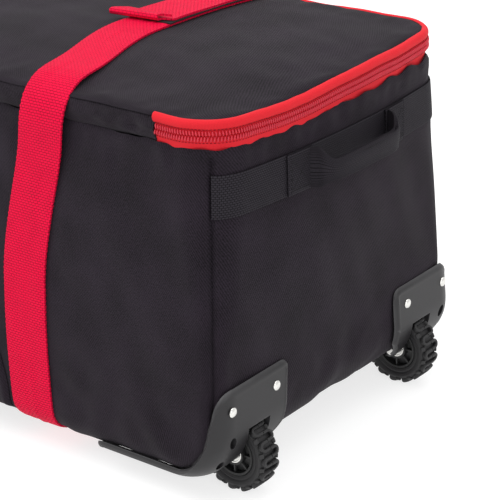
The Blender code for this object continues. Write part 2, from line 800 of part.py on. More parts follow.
def make_pocket(fabric, tape, metal):
    """Low pocket on the near side, its zip band and slider."""
    levels = [lerp(POCKET_LOW, POCKET_TOP, i / 5) for i in range(6)]

    def grid(offset):
        return [[side_point(s * pocket_half(z), z, offset, -1) for s in (-1, 0, 1)] for z in levels]
    bm = thick_grid(grid(GAP + POCKET_THICK), grid(GAP))
    place("side_pocket", bm, fabric)
    low = POCKET_TOP + GAP
    high = low + POCKET_ZIP_HEIGHT

    def run(z, offset):
        return [side_point(x, z, offset, -1) for x in (-POCKET_HALF_TOP, 0.0, POCKET_HALF_TOP)]
    make_strip("pocket_zip_tape", run, low, high, GAP, GAP + TAPE, tape)
    middle = (low + high) / 2
    face = -half_width(middle) - TAPE - 2 * GAP - 0.0006
    origin = (POCKET_SLIDER_X, face, middle)
    bm = block((POCKET_SLIDER_X - 0.006, face - 0.004, middle - 0.005),
               (POCKET_SLIDER_X + 0.006, face, middle + 0.005), 0.001)
    place("pocket_zip_slider", bm, metal, origin)


def main():
    """Build the whole bag."""
    clear_scene()
    fabric = finish_material("black_fabric", (0.030, 0.027, 0.030), 0.85)
    red_webbing = finish_material("red_webbing", (0.75, 0.012, 0.045), 0.7)
    red_tape = finish_material("red_zip_tape", (0.85, 0.025, 0.045), 0.7)
    red_teeth = finish_material("red_zip_teeth", (0.80, 0.02, 0.04), 0.4)
    black_webbing = finish_material("black_webbing", (0.035, 0.035, 0.035), 0.8)
    plastic = finish_material("grey_plastic", (0.062, 0.062, 0.066), 0.45)
    board = finish_material("board_plastic", (0.02, 0.02, 0.02), 0.6)
    rubber = finish_material("tyre_rubber", (0.03, 0.03, 0.03), 0.6)
    steel = finish_material("steel", (0.75, 0.75, 0.74), 0.25, 1.0)
    zip_metal = finish_material("black_zip_metal", (0.05, 0.05, 0.05), 0.35, 1.0)

    make_wall("near_side_panel", side_wall_stations(-1), fabric)
    make_wall("far_side_panel", side_wall_stations(1), fabric)
    wheel_end = make_wall("wheel_end_panel", end_wall_stations(1), fabric)
    make_wall("tow_end_panel", end_wall_stations(-1), fabric)
    bottom = make_bottom(fabric)
    make_base_board(board)
    make_lid(fabric)
    make_gusset(fabric)
    make_zip(red_tape, red_teeth)
    make_slider(1, 1, zip_metal)
    make_slider(2, -1, zip_metal)
    make_straps(red_webbing)
    for prefix, end in (("wheel_end", 1), ("tow_end", -1)):
        make_band(f"{prefix}_band", end, black_webbing)
        make_handle(prefix, end, black_webbing)
    for label, side in (("near", -1), ("far", 1)):
        guard = make_guard(label, side, plastic)
        make_housing(label, side, plastic)
        make_wheel(label, side, rubber, plastic, steel)
        well = well_cutter(label, side)
        cut(wheel_end, well)
        cut(bottom, well)
        make_rivets(label, side, (guard, wheel_end), steel)
        make_foot(label, side, plastic)
    make_pocket(fabric, red_tape, zip_metal)


main()
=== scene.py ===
"""Looks of a wheeled duffel bag: cloth, webbing, zip, mouldings and wheels.

Metres, +Z up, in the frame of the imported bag.  The wheels are at the +X end
and the lid hinges on the -Y side.
"""
import logging
import math
from collections.abc import Callable, Iterable
from dataclasses import dataclass, field
from enum import Enum

import bmesh
import bpy
from mathutils import Matrix, Vector, noise


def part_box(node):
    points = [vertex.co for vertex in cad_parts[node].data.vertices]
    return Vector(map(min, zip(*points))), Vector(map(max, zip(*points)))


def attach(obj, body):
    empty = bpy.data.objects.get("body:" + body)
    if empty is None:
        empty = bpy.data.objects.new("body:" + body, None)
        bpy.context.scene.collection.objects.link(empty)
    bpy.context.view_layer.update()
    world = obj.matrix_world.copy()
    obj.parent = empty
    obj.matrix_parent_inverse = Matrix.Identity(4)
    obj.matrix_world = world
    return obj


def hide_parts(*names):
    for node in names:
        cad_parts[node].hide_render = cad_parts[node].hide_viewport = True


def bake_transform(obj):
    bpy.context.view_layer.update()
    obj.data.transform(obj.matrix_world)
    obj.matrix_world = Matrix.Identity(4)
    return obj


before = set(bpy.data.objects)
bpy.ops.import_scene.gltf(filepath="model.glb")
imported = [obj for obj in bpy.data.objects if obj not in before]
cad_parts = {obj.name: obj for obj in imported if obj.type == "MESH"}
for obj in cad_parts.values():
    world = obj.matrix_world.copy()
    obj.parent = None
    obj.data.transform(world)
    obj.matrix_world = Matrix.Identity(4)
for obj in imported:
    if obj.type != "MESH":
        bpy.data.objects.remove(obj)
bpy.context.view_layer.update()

log = logging.getLogger("bag")

Mesh = bmesh.types.BMesh
Item = bpy.types.Object
Socket = bpy.types.NodeSocket
Profile = list[tuple[float, float]]
Place = Callable[[float, float], Vector]
QUARTER = math.pi / 2
MILLIMETRES = 1000.0
MIDDLE = Vector((0.0, 0.0, 0.18))
AXLE_WAY = Vector((0.0, 1.0, 0.0))
WELD = 1e-6


def lerp(start: float, stop: float, share: float) -> float:
    """Return the value that lies share of the way from start to stop."""
    return start + (stop - start) * share


def clamp(value: float) -> float:
    """Return value held between 0 and 1."""
    return max(0.0, min(1.0, value))


def smooth(low: float, high: float, value: float) -> float:
    """Return 0 below low, 1 above high and an even S between them."""
    share = clamp((value - low) / (high - low))
    return share * share * (3 - 2 * share)


def signed_power(value: float, power: float) -> float:
    """Return a power of value's size, with value's sign."""
    return math.copysign(abs(value) ** power, value)


def hump(value: float, middle: float, spread: float) -> float:
    """Return a bell curve of height 1 about middle."""
    return math.exp(-((value - middle) / spread) ** 2)


def ripple(a: float, b: float, pitch: float, seed: float) -> float:
    """Return even noise between about -1 and 1 for a place on a cloth.

    Args:
        a: First coordinate on the cloth, in metres.
        b: Second coordinate on the cloth, in metres.
        pitch: Distance between neighbouring folds, in metres.
        seed: Value that tells one cloth's folds from another's.

    Returns:
        The height of the folds, as a share of their depth.
    """
    return 2 * noise.noise(Vector((a / pitch, b / pitch, seed)))


def curve_through(values: list[float], share: float) -> float:
    """Return the value of a smooth curve through evenly spaced values.

    Args:
        values: Values that the curve passes through.
        share: How far along the curve, from 0 to 1.

    Returns:
        The value there, by Catmull-Rom interpolation.
    """
    span = clamp(share) * (len(values) - 1)
    i = min(int(span), len(values) - 2)
    t = span - i
    b, c = values[i], values[i + 1]
    a = values[i - 1] if i else 2 * b - c
    d = values[i + 2] if i + 2 < len(values) else 2 * c - b
    return b + 0.5 * t * (c - a + t * (2 * a - 5 * b + 4 * c - d + t * (3 * (b - c) + d - a)))


def round_corner(t: float, share: float) -> float:
    """Return 0 to 1 over the flat share of a panel's half, and 1 to 1.5 to its seam."""
    reach = abs(t)
    return reach / share if reach < share else 1 + 0.5 * (reach - share) / (1 - share)


class Side(Enum):
    """Long side of the bag."""

    NEAR = -1
    FAR = 1

    @property
    def label(self) -> str:
        """Side's name, as the nodes have it."""
        return self.name.lower()


class End(Enum):
    """End of the bag."""

    WHEEL = 1
    TOW = -1


# --- finishes ---------------------------------------------------------------

Colour = tuple[float, float, float]


class NodeKit:
    """Short hand for building a node material around one Principled shader."""

    def __init__(self, name: str) -> None:
        """Start an empty material with that name."""
        self.material = bpy.data.materials.new(name)
        self.material.use_nodes = True
        self.tree = self.material.node_tree
        self.shader = self.tree.nodes["Principled BSDF"]

    def add(self, kind: str, settings: dict | None = None, **inputs: object) -> bpy.types.Node:
        """Add a node.

        Args:
            kind: Node type without the ShaderNode prefix.
            settings: Properties of the node itself.
            **inputs: Socket values or sockets to link, with _ for a space.

        Returns:
            The new node.
        """
        node = self.tree.nodes.new("ShaderNode" + kind)
        for key, value in (settings or {}).items():
            setattr(node, key, value)
        for key, value in inputs.items():
            self.feed(node.inputs[key.replace("_", " ")], value)
        return node

    def feed(self, socket: Socket, value: object) -> None:
        """Link value to a socket if it is a socket, or else set it."""
        if isinstance(value, Socket):
            self.tree.links.new(value, socket)
        else:
            socket.default_value = value

    def maths(self, operation: str, a: object, b: object = 0.0, c: float = 0.0) -> Socket:
        """Return the result socket of a Math node on a, b and, where it takes three, c."""
        node = self.tree.nodes.new("ShaderNodeMath")
        node.operation = operation
        for socket, value in zip(node.inputs, (a, b, c)):
            self.feed(socket, value)
        return node.outputs[0]

    def blend(self, share: object, a: object, b: object) -> Socket:
        """Return the colour that lies share of the way from a to b."""
        node = self.tree.nodes.new("ShaderNodeMix")
        node.data_type = "RGBA"
        self.feed(node.inputs[0], share)
        self.feed(node.inputs[6], (*a, 1.0) if isinstance(a, tuple) else a)
        self.feed(node.inputs[7], (*b, 1.0) if isinstance(b, tuple) else b)
        return node.outputs[2]

    def in_millimetres(self, where: Socket) -> Socket:
        """Return coordinates that come in metres as millimetres."""
        return self.add("Mapping", Vector=where, Scale=(MILLIMETRES,) * 3).outputs[0]

    def cloth_map(self) -> Socket:
        """Return the piece's own cloth coordinates in millimetres."""
        return self.in_millimetres(self.add("UVMap", {"uv_map": "cloth"}).outputs[0])

    def solid_map(self) -> Socket:
        """Return the object's coordinates in millimetres."""
        return self.in_millimetres(self.add("TexCoord").outputs["Object"])

    def speckle(self, where: Socket, scale: float, detail: float = 3.0) -> Socket:
        """Return noise of a scale, in features per millimetre."""
        return self.add("TexNoise", Vector=where, Scale=scale, Detail=detail).outputs["Fac"]

    def raise_surface(self, height: Socket, distance: float, strength: float = 1.0) -> None:
        """Let height, from 0 to 1, stand distance metres proud."""
        bump = self.add("Bump", Height=height, Distance=distance, Strength=strength)
        self.feed(self.shader.inputs["Normal"], bump.outputs[0])

    def surface(self, colour: object, **values: float) -> bpy.types.Material:
        """Set the shader's colour and its constant sockets.

        Args:
            colour: Colour, or the socket that gives it.
            **values: Constant or linked socket values, with _ for a space.

        Returns:
            The finished material.
        """
        self.feed(self.shader.inputs["Base Color"], (*colour, 1.0) if isinstance(colour, tuple) else colour)
        for key, value in values.items():
            self.feed(self.shader.inputs[key.replace("_", " ")], value)
        return self.material


@dataclass(frozen=True)
class TwillCloth:
    """Dull polyester twill, with a fine slanting rib."""

    name: str = "black_twill"
    dark: Colour = (0.0024, 0.0013, 0.0026)
    light: Colour = (0.0185, 0.0124, 0.0202)
    pitch: float = 2.3

    def make(self) -> bpy.types.Material:
        """Return the material."""
        kit = NodeKit(self.name)
        where = kit.cloth_map()
        parts = kit.add("SeparateXYZ", Vector=where)
        slant = kit.maths("ADD", parts.outputs[0], kit.maths("MULTIPLY", parts.outputs[1], 0.6))
        wander = kit.maths("MULTIPLY", kit.speckle(where, 0.05), 2.5)
        phase = kit.maths("MULTIPLY", kit.maths("ADD", slant, wander), 2 * math.pi / self.pitch)
        rib = kit.maths("MULTIPLY_ADD", kit.maths("SINE", phase), 0.5, 0.5)
        fibre = kit.speckle(where, 0.62, 4.0)
        cloud = kit.speckle(where, 0.022, 3.0)
        tone = kit.maths("MULTIPLY", rib, 0.62)
        tone = kit.maths("ADD", tone, kit.maths("MULTIPLY", kit.maths("SUBTRACT", fibre, 0.36), 1.7))
        tone = kit.maths("ADD", tone, kit.maths("MULTIPLY", kit.maths("SUBTRACT", cloud, 0.5), 0.9))
        colour = kit.blend(tone, self.dark, self.light)
        relief = kit.maths("ADD", kit.maths("MULTIPLY", rib, 0.6), kit.maths("MULTIPLY", fibre, 0.5))
        kit.raise_surface(relief, 0.00034, 0.9)
        return kit.surface(colour, Roughness=0.86, Sheen_Weight=0.035, Sheen_Roughness=0.5,
                           Specular_IOR_Level=0.16)


@dataclass(frozen=True)
class Webbing:
    """Woven nylon webbing, with staggered bars across its length."""

    name: str
    dark: Colour
    light: Colour
    bar: float = 3.0
    row: float = 1.7
    depth: float = 0.00045
    roughness: float = 0.62

    def make(self) -> bpy.types.Material:
        """Return the material."""
        kit = NodeKit(self.name)
        where = kit.cloth_map()
        weave = kit.add("TexBrick", {"offset": 0.5, "offset_frequency": 2}, Vector=where, Scale=1.0,
                        Mortar_Size=0.34, Mortar_Smooth=0.9, Brick_Width=self.bar, Row_Height=self.row)
        fibre = kit.speckle(where, 0.8, 4.0)
        cloud = kit.speckle(where, 0.05, 2.0)
        bars = kit.maths("SUBTRACT", 1.0, weave.outputs["Fac"])
        tone = kit.maths("ADD", kit.maths("MULTIPLY", bars, 0.70), kit.maths("MULTIPLY", fibre, 0.30))
        tone = kit.maths("ADD", tone, kit.maths("MULTIPLY", cloud, 0.22))
        colour = kit.blend(tone, self.dark, self.light)
        relief = kit.maths("ADD", bars, kit.maths("MULTIPLY", fibre, 0.35))
        kit.raise_surface(relief, self.depth, 0.9)
        return kit.surface(colour, Roughness=self.roughness, Specular_IOR_Level=0.07)


@dataclass(frozen=True)
class KnitTape:
    """Fine knitted zip tape, with ribs along its length."""

    name: str = "red_tape"
    dark: Colour = (0.34, 0.0070, 0.0130)
    light: Colour = (0.74, 0.0200, 0.0310)

    def make(self) -> bpy.types.Material:
        """Return the material."""
        kit = NodeKit(self.name)
        where = kit.cloth_map()
        parts = kit.add("SeparateXYZ", Vector=where)
        rib = kit.maths("SINE", kit.maths("MULTIPLY", parts.outputs[1], 2 * math.pi / 0.9))
        loop = kit.maths("SINE", kit.maths("MULTIPLY", parts.outputs[0], 2 * math.pi / 1.1))
        knit = kit.maths("MULTIPLY_ADD", kit.maths("ADD", rib, loop), 0.22, 0.5)
        fibre = kit.speckle(where, 1.4, 3.0)
        tone = kit.maths("ADD", kit.maths("MULTIPLY", knit, 0.55), kit.maths("MULTIPLY", fibre, 0.65))
        kit.raise_surface(tone, 0.0002, 0.7)
        return kit.surface(kit.blend(tone, self.dark, self.light), Roughness=0.8,
                           Sheen_Weight=0.03, Sheen_Roughness=0.5, Specular_IOR_Level=0.12)


@dataclass(frozen=True)
class Moulding:
    """Moulded plastic or rubber, with a fine spark grain and convex edges lightened, partly as scuff wear and
    partly as a painted highlight.
    """

    name: str
    colour: Colour
    wear_and_highlight: Colour
    roughness: float = 0.5
    grain: float = 1.6
    depth: float = 0.00008

    def make(self) -> bpy.types.Material:
        """Return the material."""
        kit = NodeKit(self.name)
        where = kit.solid_map()
        fine = kit.speckle(where, self.grain, 4.0)
        cloud = kit.speckle(where, 0.035, 3.0)
        # Convex edges, found by pointiness and broken up by noise, are lightened towards the lighter edge
        # colour: partly scuff wear, partly a painted highlight.
        edge = kit.add("NewGeometry").outputs["Pointiness"]
        rim = kit.add("MapRange", Value=edge, From_Min=0.52, From_Max=0.60).outputs[0]
        rim = kit.maths("MULTIPLY", rim, kit.maths("MULTIPLY", cloud, 0.9))
        base = kit.blend(kit.maths("MULTIPLY", cloud, 0.55), self.colour,
                         tuple(0.72 * c for c in self.colour))
        kit.raise_surface(fine, self.depth, 0.6)
        rough = kit.maths("MULTIPLY_ADD", fine, 0.16, self.roughness - 0.08)
        return kit.surface(kit.blend(rim, base, self.wear_and_highlight), Roughness=rough, Specular_IOR_Level=0.45)


@dataclass(frozen=True)
class Metal:
    """Plated metal with faint scratches."""

    name: str
    colour: Colour
    roughness: float = 0.2

    def make(self) -> bpy.types.Material:
        """Return the material."""
        kit = NodeKit(self.name)
        where = kit.solid_map()
        stretch = kit.add("Mapping", Vector=where, Scale=(0.3, 4.0, 0.3)).outputs[0]
        scratch = kit.speckle(stretch, 0.8, 4.0)
        rough = kit.maths("MULTIPLY_ADD", scratch, 0.14, self.roughness - 0.05)
        kit.raise_surface(scratch, 0.00003, 0.5)
        tone = kit.blend(kit.speckle(where, 0.3), self.colour, tuple(0.82 * c for c in self.colour))
        return kit.surface(tone, Roughness=rough, Metallic=1.0)


@dataclass(frozen=True)
class FloorPaint:
    """Plain pale studio floor."""

    name: str = "pale_floor"
    colour: Colour = (0.36, 0.36, 0.36)
    glow: float = 0.74

    def make(self) -> bpy.types.Material:
        """Return the material."""
        kit = NodeKit(self.name)
        mottle = kit.speckle(kit.add("TexCoord").outputs["Object"], 3.0, 2.0)
        tone = kit.blend(mottle, self.colour, tuple(0.99 * c for c in self.colour))
        return kit.surface(tone, Roughness=0.9, Specular_IOR_Level=0.1, Emission_Strength=self.glow)


class Finish(Enum):
    """Every finish on the bag, made once each."""

    CLOTH = TwillCloth()
    GUSSET = TwillCloth("black_gusset", (0.0023, 0.0012, 0.0025), (0.0195, 0.0138, 0.0208), 2.1)
    LINING = TwillCloth("grey_lining", (0.034, 0.034, 0.036), (0.060, 0.060, 0.063), 0.8)
    RED_WEBBING = Webbing("red_webbing_weave", (0.14, 0.0004, 0.0070), (0.72, 0.0034, 0.0450),
                          4.2, 2.5, 0.0006)
    RED_THREAD = Webbing("red_thread", (0.40, 0.008, 0.022), (0.70, 0.03, 0.06), 1.2, 0.8)
    BLACK_WEBBING = Webbing("black_webbing_weave", (0.0012, 0.0010, 0.0014), (0.0265, 0.0232, 0.0290),
                            2.5, 2.0, 0.0006)
    BLACK_THREAD = Webbing("black_thread", (0.010, 0.010, 0.010), (0.030, 0.030, 0.030), 1.2, 0.8)
    HOOK_TAPE = TwillCloth("black_hook_tape", (0.006, 0.006, 0.006), (0.020, 0.019, 0.020), 0.9)
    RED_TAPE = KnitTape()
    DARK_THREAD = KnitTape("dark_red_thread", (0.10, 0.004, 0.010), (0.26, 0.008, 0.018))
    # Each moulding's second colour is its lighter edge colour: scuff wear and painted highlight.
    RED_COIL = Moulding("red_coil_nylon", (0.50, 0.010, 0.030), (0.66, 0.030, 0.055), 0.50)
    GREY_PLASTIC = Moulding("grey_guard_plastic", (0.0092, 0.0082, 0.0098), (0.085, 0.084, 0.088), 0.47)
    WELL_PLASTIC = Moulding("black_well_plastic", (0.010, 0.010, 0.0105), (0.03, 0.03, 0.03), 0.5)
    BOARD = Moulding("dark_board", (0.030, 0.030, 0.032), (0.07, 0.07, 0.07), 0.55, 0.9)
    RUBBER = Moulding("tyre_rubber_grain", (0.0112, 0.0104, 0.0118),
                      (0.030, 0.030, 0.030), 0.62, 1.2, 0.00012)
    STEEL = Metal("bright_steel_plate", (0.82, 0.81, 0.78), 0.20)
    ZIP_METAL = Metal("black_zip_plate", (0.10, 0.10, 0.105), 0.34)
    FLOOR = FloorPaint()


class Shelf:
    """Keeps the one material of each finish."""

    def __init__(self) -> None:
        """Start with no materials made."""
        self.made: dict[Finish, bpy.types.Material] = {}

    def take(self, finish: Finish) -> bpy.types.Material:
        """Return the material of a finish, and make it the first time."""
        if finish not in self.made:
            self.made[finish] = finish.value.make()
        return self.made[finish]


SHELF = Shelf()


# --- making pieces ----------------------------------------------------------

def laid(columns: int, rows: int, place: Place, size: tuple[float, float], out: Vector | None = None,
         bm: Mesh | None = None) -> Mesh:
    """Lay a grid of cloth on a surface, with its UV map in metres.

    Args:
        columns: Number of faces along u.
        rows: Number of faces along v.
        place: Gives the point for u and v, each from 0 to 1.
        size: Length of the cloth along u and along v.
        out: Point that the outer face looks away from; the bag's middle if None.
        bm: Mesh to add the grid to; a new one if None.

    Returns:
        The mesh, with its outer face pointing outwards.
    """
    bm = bm or bmesh.new()
    uv = bm.loops.layers.uv.get("cloth") or bm.loops.layers.uv.new("cloth")
    made = bmesh.ops.create_grid(bm, x_segments=columns, y_segments=rows, size=0.5)["verts"]
    faces = {f for v in made for f in v.link_faces}
    for face in faces:
        for loop in face.loops:
            u, v = loop.vert.co.x + 0.5, loop.vert.co.y + 0.5
            loop[uv].uv = (u * size[0], v * size[1])
        face.smooth = True
    for vert in made:
        vert.co = place(clamp(vert.co.x + 0.5), clamp(vert.co.y + 0.5))
    middle = out if out is not None else MIDDLE
    bm.normal_update()
    if sum(f.normal.dot(f.calc_center_median() - middle) * f.calc_area() for f in faces) < 0:
        bmesh.ops.reverse_faces(bm, faces=list(faces))
        bm.normal_update()
    return bm


def ringed(steps: int, around: int, place: Place, size: tuple[float, float],
           bm: Mesh | None = None) -> Mesh:
    """Sweep a closed section along a path and close both ends.

    Args:
        steps: Number of faces along the path.
        around: Number of faces round the section.
        place: Gives the point for the path share u and the turn v.
        size: Length of the path and of the section's outline.
        bm: Mesh to add the sweep to; a new one if None.

    Returns:
        The closed mesh, with its normals outwards.
    """
    own = bmesh.new()
    laid(steps, around, place, size, bm=own)
    bmesh.ops.remove_doubles(own, verts=own.verts, dist=WELD)
    bmesh.ops.holes_fill(own, edges=[e for e in own.edges if e.is_boundary], sides=0)
    bmesh.ops.recalc_face_normals(own, faces=own.faces)
    if bm is None:
        return own
    mesh = bpy.data.meshes.new("part")
    own.to_mesh(mesh)
    own.free()
    bm.from_mesh(mesh)
    bpy.data.meshes.remove(mesh)
    return bm


def mirrored(upper: Profile) -> Profile:
    """Return the upper half of a profile followed by its mirror image below."""
    return upper + [(radius, -height) for radius, height in reversed(upper)]


def turned(profile: Profile, centre: Vector, axis: Vector, steps: int) -> Mesh:
    """Turn a closed profile about an axis.

    Args:
        profile: Points as (radius, height along the axis); on-axis ends close the shape.
        centre: Point that heights count from.
        axis: Direction of the axis.
        steps: Number of faces round it.

    Returns:
        The closed mesh, with its normals outwards.
    """
    bm = bmesh.new()
    bm.loops.layers.uv.new("cloth")
    turn = Vector((0, 0, 1)).rotation_difference(axis).to_matrix().to_4x4()
    verts = [bm.verts.new((radius, 0.0, height)) for radius, height in profile]
    pairs = list(zip(verts, verts[1:]))
    if profile[0][0] > 0 or profile[-1][0] > 0:
        pairs.append((verts[-1], verts[0]))
    edges = [bm.edges.new(pair) for pair in pairs]
    bmesh.ops.spin(bm, geom=verts + edges, cent=(0, 0, 0), axis=(0, 0, 1), angle=2 * math.pi,
                   steps=steps, use_merge=True, use_duplicate=False)
    bmesh.ops.remove_doubles(bm, verts=bm.verts, dist=WELD)
    bmesh.ops.recalc_face_normals(bm, faces=bm.faces)
    bmesh.ops.transform(bm, matrix=Matrix.Translation(centre) @ turn, verts=bm.verts)
    for face in bm.faces:
        face.smooth = True
    return bm


def block(size: Vector, bevel: float, matrix: Matrix, segments: int = 2, bm: Mesh | None = None) -> Mesh:
    """Add a box with rounded edges.

    Args:
        size: Its length, width and height.
        bevel: Width of the rounding.
        matrix: Where it goes.
        segments: Faces across the rounding.
        bm: Mesh to add to; a new one if None.

    Returns:
        The mesh.
    """
    bm = bm or bmesh.new()
    made = bmesh.ops.create_cube(bm, size=1.0, matrix=matrix @ Matrix.Diagonal((*size, 1.0)))["verts"]
    edges = list({e for v in made for e in v.link_edges})
    bmesh.ops.bevel(bm, geom=edges, offset=bevel, segments=segments, profile=0.5,
                    affect='EDGES', material=-1)
    return bm


def beads(places: Iterable[Matrix], size: Vector, around: int = 6) -> Mesh:
    """Set one small rounded bead at each place.

    Args:
        places: Matrices of the beads.
        size: Length, width and height of a bead.
        around: Faces round a bead.

    Returns:
        The mesh of all the beads.
    """
    pattern = bmesh.new()
    bmesh.ops.create_uvsphere(pattern, u_segments=around, v_segments=4, radius=0.5)
    bmesh.ops.scale(pattern, vec=size, verts=pattern.verts)
    for face in pattern.faces:
        face.smooth = True
    mesh = bpy.data.meshes.new("bead")
    bm = bmesh.new()
    for matrix in places:
        bmesh.ops.transform(pattern, matrix=matrix, verts=pattern.verts)
        pattern.to_mesh(mesh)
        bm.from_mesh(mesh)
        bmesh.ops.transform(pattern, matrix=matrix.inverted(), verts=pattern.verts)
    pattern.free()
    bpy.data.meshes.remove(mesh)
    bm.loops.layers.uv.new("cloth")
    return bm


def facing(point: Vector, along: Vector, out: Vector) -> Matrix:
    """Return a frame at point with X along and Z out of the surface."""
    x = along.normalized()
    z = (out - x * out.dot(x)).normalized()
    y = z.cross(x)
    turn = Matrix((x, y, z)).transposed().to_4x4()
    return Matrix.Translation(point) @ turn


@dataclass
class Piece:
    """A finished piece: its mesh, what it moves with and what it stands for."""

    name: str
    bm: Mesh
    finish: Finish
    slot: str
    body: str = "root"
    nodes: tuple[str, ...] = ()
    thick: float = 0.0
    inside: Finish | None = None
    angle: float = 40.0

    def build(self) -> Item:
        """Make the object, finish its mesh and hand it to the frame.

        Returns:
            The object, riding on its body.
        """
        item = self.shape()
        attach(item, self.body)
        return self.hand_over(item)

    def bend(self, bodies: tuple[str, str], start: Vector, end: Vector) -> Item:
        """Make the object and bake its placement into its mesh, without a body.

        Args:
            bodies: The body before start and the body after end; not used.
            start: Where the first body stops; not used.
            end: Where the second body starts; not used.

        Returns:
            The object.
        """
        item = self.shape()
        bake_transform(item)
        return self.hand_over(item)

    def shape(self) -> Item:
        """Return the object with its walls and materials applied."""
        mesh = bpy.data.meshes.new(self.name)
        self.bm.to_mesh(mesh)
        self.bm.free()
        item = linked(self.name, mesh)
        mesh.materials.append(SHELF.take(self.finish))
        if self.inside:
            mesh.materials.append(SHELF.take(self.inside))
        if self.thick:
            wall = item.modifiers.new("wall", 'SOLIDIFY')
            wall.thickness = self.thick
            wall.offset = -1.0
            wall.use_even_offset = False
            wall.material_offset = 1 if self.inside else 0
        settle(item)
        item.data.shade_smooth()
        item.data.set_sharp_from_angle(angle=math.radians(self.angle))
        return item

    def hand_over(self, item: Item) -> Item:
        """Hide the nodes it stands for, and report it."""
        if self.nodes:
            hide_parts(*self.nodes)
        log.info("%s: %d faces", self.name, len(item.data.polygons))
        return item


def linked(name: str, data: bpy.types.ID) -> Item:
    """Return a new object of the scene that holds data."""
    item = bpy.data.objects.new(name, data)
    bpy.context.scene.collection.objects.link(item)
    return item


def settle(item: Item) -> None:
    """Apply an object's modifiers to its mesh."""
    if not item.modifiers:
        return
    bpy.context.view_layer.update()
    graph = bpy.context.evaluated_depsgraph_get()
    old = item.data
    fresh = bpy.data.meshes.new_from_object(item.evaluated_get(graph))
    item.modifiers.clear()
    item.data = fresh
    bpy.data.meshes.remove(old)
    fresh.name = item.name


def carve(item: Item, tools: list[Mesh]) -> None:
    """Cut tools out of an object for good.

    Args:
        item: Object whose mesh is cut.
        tools: Closed meshes to take away.
    """
    cutters = []
    for number, bm in enumerate(tools):
        bmesh.ops.recalc_face_normals(bm, faces=bm.faces)
        mesh = bpy.data.meshes.new("tool")
        bm.to_mesh(mesh)
        bm.free()
        tool = linked("tool", mesh)
        cutters.append(tool)
        step = item.modifiers.new(f"cut_{number}", 'BOOLEAN')
        step.operation = 'DIFFERENCE'
        step.solver = 'EXACT'
        step.object = tool
    settle(item)
    for tool in cutters:
        bpy.data.objects.remove(tool, do_unlink=True)


# --- the bag's form ---------------------------------------------------------

